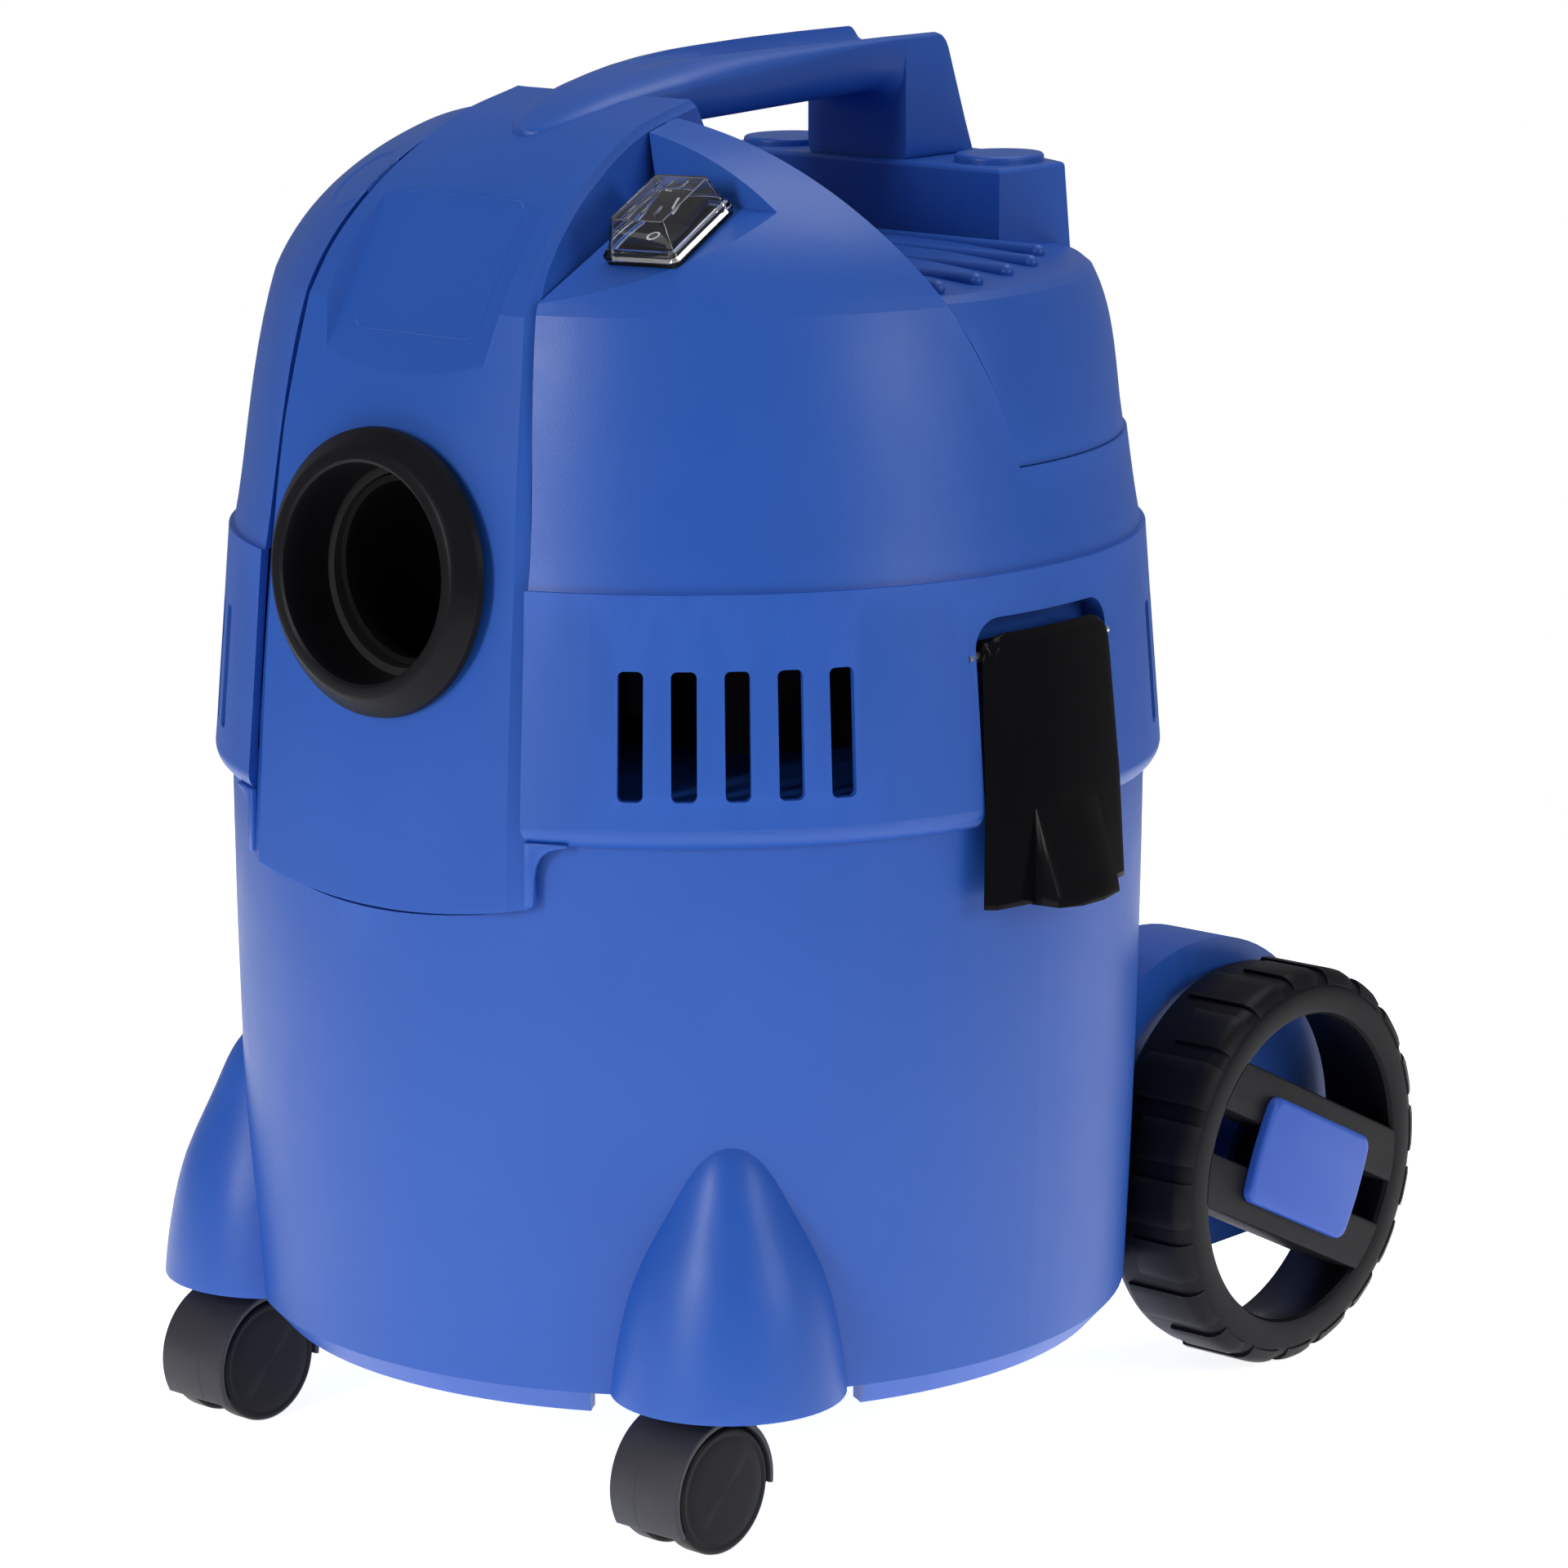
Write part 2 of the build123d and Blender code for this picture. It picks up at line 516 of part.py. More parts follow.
def make_switch_cover():
    """Clear boot clipped over the switch: a flange and a four-sided hood."""
    flange = Pos(0, 0, 3.2) * Box(25.4, 33.6, 3.0)
    flange = fillet(flange.edges().filter_by(Axis.Z), 2.0)
    hood = extrude(Pos(0, 0, 4.6) * Rectangle(22.0, 29.6), 8.6, taper=13)
    inside = extrude(Pos(0, 0, 1.5) * Rectangle(20.4, 28.0), 3.0)
    inside += extrude(Pos(0, 0, 4.4) * Rectangle(20.4, 28.0), 8.0, taper=13)
    rib_rows = [Pos(x, y, 13.2) * Box(0.9, 4.2, 0.8) for x in (-5, 0, 5) for y in (-6.2, 6.2)]
    cover = flange + hood - inside
    for rib in rib_rows:
        cover += rib
    return switch_frame * cover


# ---- motor and fan, from the bottom up -------------------------------------------------------
def on_motor(shape):
    return Pos(0, MOTOR_Y, 0) * shape


def make_motor_seal():
    return on_motor(ring_z(60, 52, PLATE_Z + PLATE_T, 223.3))


def make_fan_housing():
    cup = cyl_z(62, 223.5, 252) - cyl_z(60.6, 225, 253)
    return on_motor(cup - cyl_z(22, 222, 226))


def make_impeller():
    discs = ring_z(57, 24, 229.0, 230.2) + cyl_z(57, 240.4, 241.6) + cyl_z(10, 236, 240.5)
    for i in range(9):
        blade = Pos(0, 0, 235.3) * Rot(0, 0, 40 * i) * Pos(38, 0, 0) * Rot(0, 0, 28) * Box(32, 1.2, 10.4)
        discs += blade
    return on_motor(discs - cyl_z(4.0, 228, 244))


def make_diffuser():
    plate = ring_z(60.3, 14, 243.5, 245.0)
    for i in range(10):
        plate += Rot(0, 0, 36 * i) * Pos(47, 0, 0) * Rot(0, 0, 50) * Pos(0, 0, 248) * Box(20, 1.4, 6.2)
    return on_motor(plate)


def make_motor_frame():
    """Stepped housing that closes the fan and carries both bearings."""
    base = ring_z(62, 11.05, 252.2, 254.5) - ring_z(58, 46, 252, 255)
    spokes = [Rot(0, 0, 60 * i) * Pos(52, 0, 253.4) * Box(14, 7, 2.2) for i in range(6)]
    seat = ring_z(15, 11.05, 252.2, 262)
    can = ring_z(46, 43.5, 252.2, 318)
    roof = ring_z(46, 8.05, 318, 320.5) - ring_z(38, 20, 317, 321)
    struts = [Rot(0, 0, 90 * i) * Pos(29, 0, 319.2) * Box(20, 9, 2.4) for i in range(4)]
    top_seat = ring_z(11, 8.05, 318, 328)
    frame = base + seat + can + roof + top_seat
    for piece in spokes + struts:
        frame += piece
    ports = [Rot(0, 0, 45 + 90 * i) * Pos(45, 0, 306) * Box(10, 16, 9) for i in range(4)]
    for port in ports:
        frame -= port
    return on_motor(frame)


def make_lower_bearing():
    return on_motor(ring_z(11.0, 4.0, 254.8, 261.8))


def make_upper_bearing():
    return on_motor(ring_z(8.0, 4.0, 321, 327))


def make_stator():
    stack = ring_z(43.2, 27, 270, 298)
    flats = block(-50, 50, 36, 50, 260, 310) + block(-50, 50, -50, -36, 260, 310)
    return on_motor(stack - flats)


def make_windings():
    coil = ring_z(34, 28, 298.3, 303) + ring_z(34, 28, 265, 269.7)
    return on_motor(coil)


def make_armature():
    core = cyl_z(26.2, 271, 297)
    for i in range(12):
        core -= Rot(0, 0, 30 * i) * Pos(26, 0, 284) * Box(7, 2.2, 30)
    heads = cyl_z(19, 264, 303)
    commutator = cyl_z(11.5, 303, 315)
    shaft = cyl_z(3.95, 227, 336)
    return on_motor(core + heads + commutator + shaft)


def make_brushes():
    pair = [Rot(0, 0, a) * Pos(16.2, 0, 309) * Box(8.6, 6, 8) for a in (0, 180)]
    return on_motor(pair[0] + pair[1])


def make_brush_holders():
    holder = Pos(27.5, 0, 309) * Box(31, 10, 12) - Pos(20, 0, 309) * Box(30, 6.4, 8.4)
    return on_motor(holder + Rot(0, 0, 180) * holder)


def make_cooling_fan():
    fan = cyl_z(30, 330, 331.5) + cyl_z(8, 329.4, 338)
    for i in range(8):
        fan += Rot(0, 0, 45 * i) * Pos(19, 0, 334.5) * Box(20, 1.4, 6.4)
    return on_motor(fan - cyl_z(3.95, 320, 345))


def make_motor_cover():
    """Plastic hood that keeps the working air away from the motor."""
    shell = revolve_z(Polyline((0, 256), (65.5, 256), (65.5, 270), (52, 282), (50, 345), (0, 345), (0, 256)))
    room = revolve_z(Polyline(
        (0, 250), (63.3, 250), (63.3, 269), (49.8, 281), (47.8, 342.6), (0, 342.6), (0, 250)))
    cover = shell - room
    for i in range(12):
        cover -= Rot(0, 0, 30 * i) * Pos(50, 0, 300) * Box(12, 6, 22)
    cover -= cyl_z(30, 340, 350)
    for i in range(3):
        cover += Rot(0, 0, 120 * i) * Pos(17.5, 0, 343.8) * Box(35, 5, 2.4)
    skirt = ring_z(65.5, 62.6, PLATE_Z + PLATE_T, 256)
    for i in range(16):
        skirt -= Rot(0, 0, 22.5 * i) * Pos(64, 0, 236) * Box(10, 10, 18)
    cover += skirt
    boss = cyl_z(5, PLATE_Z + PLATE_T, 232, SCREW_RING_R)
    pilot = cyl_z(SCREW_R + FIT, 210, 230, SCREW_RING_R)
    for angle in SCREW_ANGLES:
        cover += around(boss, angle) - cyl_z(64, 200, 240)
        cover -= around(pilot, angle)
    return on_motor(cover)


def make_exhaust_foam():
    foam = ring_z(79, 66.2, PLATE_Z + PLATE_T, 254)
    for angle in SCREW_ANGLES:
        foam -= around(cyl_z(5.5, 210, 232.5, SCREW_RING_R), angle)
    return on_motor(foam) - block(-50, 50, -90, -30, 200, 260)


# ---- filter and float ------------------------------------------------------------------------
FILTER_Z0, FILTER_Z1 = 96.0, PLATE_Z
CAGE_Z = 158.0
CAGE_FLOOR = 2.0
FLOAT_R = 24.0


def make_float_cage():
    wall = cyl_z(30, CAGE_Z, PLATE_Z) - cyl_z(28, CAGE_Z + CAGE_FLOOR, PLATE_Z + 1)
    for i in range(8):
        wall -= Rot(0, 0, 45 * i) * Pos(29, 0, 186) * Box(8, 12, 40)
    return on_motor(wall - cyl_z(7, 150, 165))


def make_float_ball():
    ball = Sphere(FLOAT_R) - Sphere(FLOAT_R - 1.4)
    return Pos(0, MOTOR_Y, CAGE_Z + CAGE_FLOOR + 0.4 + FLOAT_R) * ball


def make_filter():
    """Pleated cartridge: a star-shaped sleeve between two rims."""
    pleats = 36
    points = []
    for i in range(pleats * 2):
        radius = 58.0 if i % 2 else 46.0
        angle = pi * i / pleats
        points.append((radius * cos(angle), radius * sin(angle)))
    star = make_face(Polyline(points, close=True)) - Circle(42)
    sleeve = Pos(0, 0, FILTER_Z0 + 6) * extrude(star, FILTER_Z1 - FILTER_Z0 - 12)
    rims = ring_z(60, 41, FILTER_Z0, FILTER_Z0 + 6.2) + ring_z(60, 41, FILTER_Z1 - 6.2, FILTER_Z1)
    return on_motor(sleeve + rims)


def make_filter_cap():
    cap = cyl_z(61, FILTER_Z0 - 3, FILTER_Z0) + cyl_z(40.5, FILTER_Z0 - 0.3, FILTER_Z0 + 3)
    return on_motor(cap - cyl_z(4.2, 80, 110))


def make_filter_rod():
    """Rod from the float cage down through the cap."""
    return on_motor(cyl_z(4.0, 84, CAGE_Z) + cyl_z(9, CAGE_Z - 3.3, CAGE_Z))


def make_filter_knob():
    knob = cyl_z(14, 83, FILTER_Z0 - 3.3)
    for i in range(6):
        knob -= Rot(0, 0, 60 * i) * Pos(16.5, 0, 88) * Cylinder(4.5, 30)
    return on_motor(knob - cyl_z(4.05, 80, 100))


def make_tank_gasket():
    return ring_z(138.6, 131.0, TANK_RIM_Z + GAP, PLATE_Z) & band_drum(WALL + GAP)


# ---- rear wheels -----------------------------------------------------------------------------
LUGS = 20
TREAD_R = 62.5
BAR_X0, BAR_X1 = 108.0, 117.6


def wheel_at(shape):
    return Pos(0, WHEEL_Y, WHEEL_R) * shape


def make_wheel():
    """Right-hand wheel: tread ring, two bars across it and a hub sleeve."""
    x0, x1 = WHEEL_OUT_X - WHEEL_W, WHEEL_OUT_X
    outline = Polyline((WHEEL_HOLE_R, x1 - 1.0), (WHEEL_HOLE_R + 1.0, x1), (59.6, x1),
                       (TREAD_R - 0.6, x1 - 2.2), (TREAD_R, x1 - 5), (TREAD_R, x0 + 4), (60.5, x0),
                       (56.5, x0), (54.5, x0 + 8), (51.0, x1 - 14), (WHEEL_HOLE_R, x1 - 6),
                       (WHEEL_HOLE_R, x1 - 1.0))
    turned = revolve(make_face(Plane.XZ * outline), Axis.Z)
    wheel = Rot(0, 90, 0) * turned
    for i in range(LUGS):
        long_lug = i % 2 == 0
        lug_x0 = x0 + (5.0 if long_lug else 11.0)
        half = radians(360 / LUGS * 0.36)
        lug = Pos((lug_x0 + x1 - 3.2) / 2, 0, 0) * Rot(0, 90, 0) * extrude(
            Polygon(*lug_section(half), align=None), (x1 - 3.2 - lug_x0) / 2, both=True)
        wheel += Rot(360 / LUGS * i, 0, 0) * lug
    bar = Pos((BAR_X0 + BAR_X1) / 2, 0, 0) * Box(BAR_X1 - BAR_X0, 104, 16.6)
    bars = (Pos(0, 0, 15.3) * bar + Pos(0, 0, -15.3) * bar) & cyl_x(50.6, 90, 130)
    hub = cyl_x(12, BOSS_X1 + 0.6, BAR_X1)
    wheel += Rot(-BAR_TILT, 0, 0) * bars + hub
    wheel -= cyl_x(AXLE_R + FIT, 80, 140) + cyl_x(9, AXLE_X1 - 3, 130)
    return wheel_at(wheel)


def lug_section(half):
    """Outline of a tread lug seen along the axle; one flat lies on the rolling circle."""
    tall = WHEEL_R
    return [(TREAD_R - 1, -(TREAD_R - 1) * sin(half)), (tall, -tall * sin(half * 0.9)),
            (tall, tall * sin(half * 0.9)), (TREAD_R - 1, (TREAD_R - 1) * sin(half))]


def make_wheel_cap():
    cap = Pos(123.4, 0, 0) * Box(11.2, 57, 34.5)
    cap = fillet(cap.edges().filter_by(Axis.X), 4)
    cap = fillet(cap.faces().sort_by(Axis.X)[-1].edges(), 1.6)
    return wheel_at(Rot(-BAR_TILT, 0, 0) * cap)


def make_axle():
    return wheel_at(cyl_x(AXLE_R, AXLE_X0 + 0.2, AXLE_X1 + 1.2))


def make_axle_clip():
    return wheel_at(cyl_x(8.4, AXLE_X1 - 2.4, AXLE_X1 - 1.0) - cyl_x(AXLE_R, 100, 130))


# ---- front casters ---------------------------------------------------------------------------
STEM_R = 3.5


def caster_at(shape):
    return Pos(CASTER_X, CASTER_Y, 0) * shape


def make_caster_socket():
    sleeve = ring_z(SOCKET_R - 0.05, STEM_R + FIT, TANK_CREASE_Z, SOCKET_TOP - 1)
    return caster_at(sleeve)


def make_caster_stem():
    return caster_at(cyl_z(STEM_R, 28, SOCKET_TOP - 3))


def make_caster_hood():
    """Mudguard over the twin wheels, with the middle web that holds the axle and the stem."""
    axle_y, z = -CASTER_TRAIL, CASTER_R
    half = CASTER_W / 2
    shell = cyl_x(CASTER_R + 2.3, -half, half, axle_y, z) - cyl_x(CASTER_R + 0.6, -20, 20, axle_y, z)
    shell -= block(-20, 20, axle_y, 20, -5, z - 2) + block(-20, 20, -60, axle_y, -5, z - 10)
    web = cyl_x(CASTER_R + 2.0, -CASTER_WEB / 2, CASTER_WEB / 2, axle_y, z) - block(-20, 20, -60, 20, -5, 6)
    boss = cyl_z(8.5, 26, TANK_CREASE_Z - 0.6) - cyl_x(CASTER_R + 0.8, -20, 20, axle_y, z)
    spine = block(-CASTER_WEB / 2, CASTER_WEB / 2, -12, 7.5, 24, 41)
    hood = shell + web + boss + spine
    hood -= cyl_z(STEM_R, 28, 60) + cyl_x(2.5, -20, 20, axle_y, z)
    return caster_at(hood)


def make_caster_axle():
    return caster_at(cyl_x(2.5, -CASTER_W / 2 + 1.5, CASTER_W / 2 - 1.5, -CASTER_TRAIL, CASTER_R))


def make_caster_disc(side):
    """One wheel of a twin pair; side is +1 for the outer one, -1 for the inner one."""
    near, far = CASTER_WEB / 2 + 0.3, CASTER_W / 2
    disc = cyl_x(CASTER_R, near, far, 0, 0)
    disc = fillet(disc.edges().group_by(Axis.X)[-1], 1.2)
    disc -= cyl_x(2.5 + FIT, 0, far - 1.2, 0, 0)
    disc -= cyl_x(16.5, far - 0.8, far + 1, 0, 0) - cyl_x(15.6, 0, far + 2, 0, 0)
    if side < 0:
        disc = mirrored(disc)
    return caster_at(Pos(0, -CASTER_TRAIL, CASTER_R) * disc)


# ---- fasteners and cable gland ---------------------------------------------------------------
def make_motor_screws():
    """Screws from below that hold the motor cover to the floor plate."""
    screw = cyl_z(SCREW_R, PLATE_Z - 0.5, 229, SCREW_RING_R)
    screw += cyl_z(3.6, PLATE_Z - 2.4, PLATE_Z, SCREW_RING_R)
    for slot in (Box(4.6, 1.1, 2), Box(1.1, 4.6, 2)):
        screw -= Pos(SCREW_RING_R, 0, PLATE_Z - 2.4) * slot
    return group([on_motor(around(screw, angle)) for angle in SCREW_ANGLES])


def group(shapes):
    return Compound(children=[solid for shape in shapes for solid in shape.solids()])


GLAND_Z = 293.0


def gland_at(shape):
    return Pos(0, 133.5, GLAND_Z) * Rot(-90, 0, 0) * shape


def make_cable_gland():
    body = cyl_z(6.9, -6, 3.6) + cyl_z(9.5, 3.2, 6)
    return gland_at(body - cyl_z(4, -20, 20))


PAIRS = {
    "latch": make_latch,
    "rear_wheel": make_wheel,
    "wheel_cap": make_wheel_cap,
    "caster_stem": make_caster_stem,
    "caster_hood": make_caster_hood,
    "caster_axle": make_caster_axle,
    "caster_wheel_outer": lambda: make_caster_disc(1),
    "caster_wheel_inner": lambda: make_caster_disc(-1),
}

TWINS = {
    "latch_pins": make_latch_pin,
    "wheel_axles": make_axle,
    "axle_clips": make_axle_clip,
    "caster_sockets": make_caster_socket,
}

SINGLES = {
    "tank": make_tank,
    "tank_gasket": make_tank_gasket,
    "belt_housing": make_belt,
    "dome_cover": make_dome,
    "front_panel": make_front_panel,
    "rear_deck": make_rear_deck,
    "carry_handle": make_handle,
    "inlet_ring": make_inlet_ring,
    "inlet_seal": make_inlet_seal,
    "inlet_elbow": make_elbow,
    "switch_body": make_switch_body,
    "switch_terminals": make_terminals,
    "switch_rocker": make_rocker,
    "switch_cover": make_switch_cover,
    "cable_gland": make_cable_gland,
    "motor_seal": make_motor_seal,
    "fan_housing": make_fan_housing,
    "fan_impeller": make_impeller,
    "fan_diffuser": make_diffuser,
    "motor_frame": make_motor_frame,
    "lower_bearing": make_lower_bearing,
    "upper_bearing": make_upper_bearing,
    "stator_core": make_stator,
    "stator_windings": make_windings,
    "armature": make_armature,
    "carbon_brushes": make_brushes,
    "brush_holders": make_brush_holders,
    "cooling_fan": make_cooling_fan,
    "motor_cover": make_motor_cover,
    "exhaust_foam": make_exhaust_foam,
    "motor_screws": make_motor_screws,
    "float_cage": make_float_cage,
    "float_ball": make_float_ball,
    "filter_cartridge": make_filter,
    "filter_cap": make_filter_cap,
    "filter_rod": make_filter_rod,
    "filter_knob": make_filter_knob,
}


def main():
    os.makedirs("parts", exist_ok=True)
    for name, make in SINGLES.items():
        save(name, make())
    for name, make in PAIRS.items():
        right = make()
        save(name + "_right", right)
        save(name + "_left", mirrored(right))
    for name, make in TWINS.items():
        right = make()
        save(name, group([right, mirrored(right)]))


if __name__ == "__main__":
    main()
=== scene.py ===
import json
import math

import bpy
import bmesh
import numpy as np
from mathutils import Matrix, Vector


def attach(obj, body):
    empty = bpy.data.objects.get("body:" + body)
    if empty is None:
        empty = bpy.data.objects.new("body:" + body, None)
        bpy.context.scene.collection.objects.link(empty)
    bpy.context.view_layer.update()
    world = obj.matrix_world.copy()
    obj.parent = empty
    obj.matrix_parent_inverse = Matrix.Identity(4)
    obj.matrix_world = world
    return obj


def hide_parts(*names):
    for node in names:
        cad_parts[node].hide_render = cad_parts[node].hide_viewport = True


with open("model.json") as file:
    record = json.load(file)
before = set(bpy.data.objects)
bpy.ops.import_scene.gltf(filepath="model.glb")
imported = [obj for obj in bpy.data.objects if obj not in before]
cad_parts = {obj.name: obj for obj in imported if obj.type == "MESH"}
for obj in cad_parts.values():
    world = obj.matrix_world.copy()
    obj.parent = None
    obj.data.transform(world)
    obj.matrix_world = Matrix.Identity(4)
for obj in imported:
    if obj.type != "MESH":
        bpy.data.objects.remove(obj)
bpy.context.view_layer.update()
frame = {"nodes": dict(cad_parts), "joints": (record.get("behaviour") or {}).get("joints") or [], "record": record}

# Lengths are in millimetres, counted from the tank's own upright axis and from the floor: x runs
# towards the side with the switch, y towards the big wheels, and z up. at() turns them into points
# of the shared frame, which is in metres.
JOINTS = {joint["name"]: joint for joint in frame["joints"]}
AXIS_Y = JOINTS["latch_right_swing"]["pos_m"][1]     # where the tank's axis stands in the frame
MM = 0.001


def at(x, y, z):
    """Point given in millimetres about the tank's axis, in the shared frame."""
    return Vector((x * MM, y * MM + AXIS_Y, z * MM))


# ---- materials ---------------------------------------------------------------------------------
DUST_COLOR = (0.35, 0.33, 0.3)
RELIEF_DEPTH = 0.0004           # metres, for a bump strength of 1
CLOUD_SCALE, WEAR_SCALE, DUST_SCALE = 14, 30, 40


def material(name, color, rough, grain=900.0, bump=0.04, cloud=0.05, metal=0.0, specular=0.5,
             dust=0.0, clear=0.0):
    """Moulded or metal finish: cloudy tone, worn edges, uneven roughness, fine grain in relief."""
    made = bpy.data.materials.new(name)
    made.use_nodes = True
    nodes, links = made.node_tree.nodes, made.node_tree.links
    shader = nodes["Principled BSDF"]
    shader.inputs["Metallic"].default_value = metal
    shader.inputs["Specular IOR Level"].default_value = specular
    shader.inputs["Transmission Weight"].default_value = clear
    where = nodes.new("ShaderNodeTexCoord")

    def noise(scale, detail, roughness=0.5):
        node = nodes.new("ShaderNodeTexNoise")
        node.inputs["Scale"].default_value = scale
        node.inputs["Detail"].default_value = detail
        node.inputs["Roughness"].default_value = roughness
        links.new(where.outputs["Object"], node.inputs["Vector"])
        return node.outputs["Fac"]

    def ramp(source, low, high, start=0.3, end=0.7):
        node = nodes.new("ShaderNodeMapRange")
        node.inputs["From Min"].default_value = start
        node.inputs["From Max"].default_value = end
        node.inputs["To Min"].default_value = low
        node.inputs["To Max"].default_value = high
        links.new(source, node.inputs["Value"])
        return node.outputs["Result"]

    def mix(under, over, factor):
        """Lays one plain colour over another, or over a socket's colour."""
        node = nodes.new("ShaderNodeMix")
        node.data_type = "RGBA"
        if isinstance(under, bpy.types.NodeSocket):
            links.new(under, node.inputs["A"])
        else:
            node.inputs["A"].default_value = (*under, 1)
        node.inputs["B"].default_value = (*over, 1)
        links.new(factor, node.inputs["Factor"])
        return node.outputs["Result"]

    dark = [c * (1 - cloud) for c in color]
    light = [min(1, c * (1 + cloud) + 0.002) for c in color]
    rubbed = [min(1, c * 1.25 + 0.012) for c in color]
    edges = nodes.new("ShaderNodeNewGeometry").outputs["Pointiness"]
    tone = mix(dark, light, ramp(noise(CLOUD_SCALE, 5), 0, 1))
    tone = mix(tone, rubbed, ramp(edges, 0, 0.5, 0.52, 0.62))
    if dust:
        tone = mix(tone, DUST_COLOR, ramp(noise(DUST_SCALE, 8, 0.7), 0, dust, 0.5, 0.8))
    links.new(tone, shader.inputs["Base Color"])
    uneven = ramp(noise(WEAR_SCALE, 6, 0.6), rough * 0.9, min(1, rough * 1.12))
    links.new(uneven, shader.inputs["Roughness"])

    relief = nodes.new("ShaderNodeBump")
    relief.inputs["Strength"].default_value = bump
    relief.inputs["Distance"].default_value = RELIEF_DEPTH
    links.new(noise(grain, 3, 0.6), relief.inputs["Height"])
    links.new(relief.outputs["Normal"], shader.inputs["Normal"])
    return made


# name, colour, roughness, grain, bump and cloud
BLUE = material("body_blue", (0.014, 0.086, 0.42), 0.40, 1400, 0.10, 0.03, specular=0.42)
CAP_BLUE = material("cap_blue", (0.022, 0.090, 0.47), 0.38, 1400, 0.06, 0.03, specular=0.35)
BLACK = material("satin_black", (0.004, 0.004, 0.006), 0.38, 1500, 0.10, 0.10, specular=0.12)
CASTER = material("caster_black", (0.032, 0.032, 0.040), 0.46, 1700, 0.14, 0.10, specular=0.3,
                  dust=0.02)
TYRE = material("wheel_black", (0.005, 0.005, 0.007), 0.42, 1200, 0.10, 0.12, specular=0.12,
                dust=0.01)
GLOSS = material("latch_gloss", (0.003, 0.003, 0.004), 0.14, 500, 0.015, 0.10, specular=0.07)
INNER = material("inner_black", (0.003, 0.003, 0.003), 0.6, 900, 0.08, 0.10, specular=0.1)
NYLON = material("nylon", (0.62, 0.61, 0.57), 0.5, 700, 0.06, 0.05)
STEEL = material("steel", (0.55, 0.55, 0.56), 0.28, 2500, 0.08, 0.08, metal=1.0)
FAN = material("fan_sheet", (0.62, 0.62, 0.64), 0.35, 1800, 0.06, 0.06, metal=1.0)
CORE = material("laminations", (0.18, 0.18, 0.19), 0.5, 2200, 0.15, 0.10, metal=0.8)
COPPER = material("copper", (0.55, 0.22, 0.08), 0.35, 2600, 0.15, 0.10, metal=0.9)
BRASS = material("brass", (0.6, 0.42, 0.16), 0.3, 1500, 0.06, 0.06, metal=1.0)
RUBBER = material("rubber", (0.010, 0.010, 0.010), 0.7, 800, 0.10, 0.10, specular=0.3)
FOAM = material("foam", (0.03, 0.03, 0.032), 0.95, 260, 0.9, 0.30, specular=0.2)
PAPER = material("filter_paper", (0.62, 0.59, 0.5), 0.85, 700, 0.3, 0.08, specular=0.2, dust=0.15)
WHITE = material("white_marks", (0.75, 0.75, 0.75), 0.5, 900, 0.05, 0.03)
CLEAR = material("clear_boot", (0.96, 0.97, 0.98), 0.02, 300, 0.01, 0.01, clear=1.0)

FINISH = {
    "body_blue": BLUE, "cap_blue": CAP_BLUE, "ring_black": BLACK, "latch_black": GLOSS,
    "wheel_black": TYRE, "caster_black": CASTER, "caster_wheel": BLACK, "bush_nylon": NYLON,
    "steel": STEEL, "fan_steel": FAN, "core_steel": CORE, "copper": COPPER, "armature": STEEL,
    "carbon": INNER, "brush_brass": BRASS, "motor_plastic": INNER, "rubber": RUBBER, "foam": FOAM,
    "inner_black": INNER, "float_white": NYLON, "filter_paper": PAPER, "switch_black": BLACK,
    "clear": CLEAR,
}
SLOT_OF = {row["node"]: row["material_slot"] for row in frame["record"]["subparts"]}


def paint(obj, finish):
    obj.data.materials.clear()
    obj.data.materials.append(finish)


for node, obj in frame["nodes"].items():
    paint(obj, FINISH[SLOT_OF[node]])


# ---- mesh helpers ------------------------------------------------------------------------------
def solid(name, verts, faces, body, finish, bevel=0.0, segments=2, angle=30):
    """Mesh piece that rides on a body; a bevel in millimetres rounds its edges with real faces."""
    mesh = bpy.data.meshes.new(name)
    mesh.from_pydata([tuple(v) for v in verts], [], faces)
    mesh.validate()
    work = bmesh.new()
    work.from_mesh(mesh)
    bmesh.ops.remove_doubles(work, verts=work.verts, dist=1e-7)
    bmesh.ops.recalc_face_normals(work, faces=work.faces)
    work.to_mesh(mesh)
    work.free()
    obj = bpy.data.objects.new(name, mesh)
    bpy.context.scene.collection.objects.link(obj)
    if bevel:
        rounding = obj.modifiers.new("round", "BEVEL")
        rounding.width = bevel * MM
        rounding.segments = segments
        rounding.limit_method = "ANGLE"
        rounding.angle_limit = math.radians(angle)
    freeze(obj)
    shade(obj, angle)
    paint(obj, finish)
    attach(obj, body)
    return obj


def freeze(obj):
    """Turns an object's modifiers into plain mesh."""
    graph = bpy.context.evaluated_depsgraph_get()
    done = bpy.data.meshes.new_from_object(obj.evaluated_get(graph))
    obj.modifiers.clear()
    old = obj.data
    obj.data = done
    bpy.data.meshes.remove(old)


def shade(obj, angle):
    """Smooth shading, with sharp edges kept above the angle."""
    mesh = obj.data
    work = bmesh.new()
    work.from_mesh(mesh)
    limit = math.radians(angle)
    for face in work.faces:
        face.smooth = True
    for edge in work.edges:
        if len(edge.link_faces) == 2:
            edge.smooth = edge.calc_face_angle(0) < limit
    work.to_mesh(mesh)
    work.free()


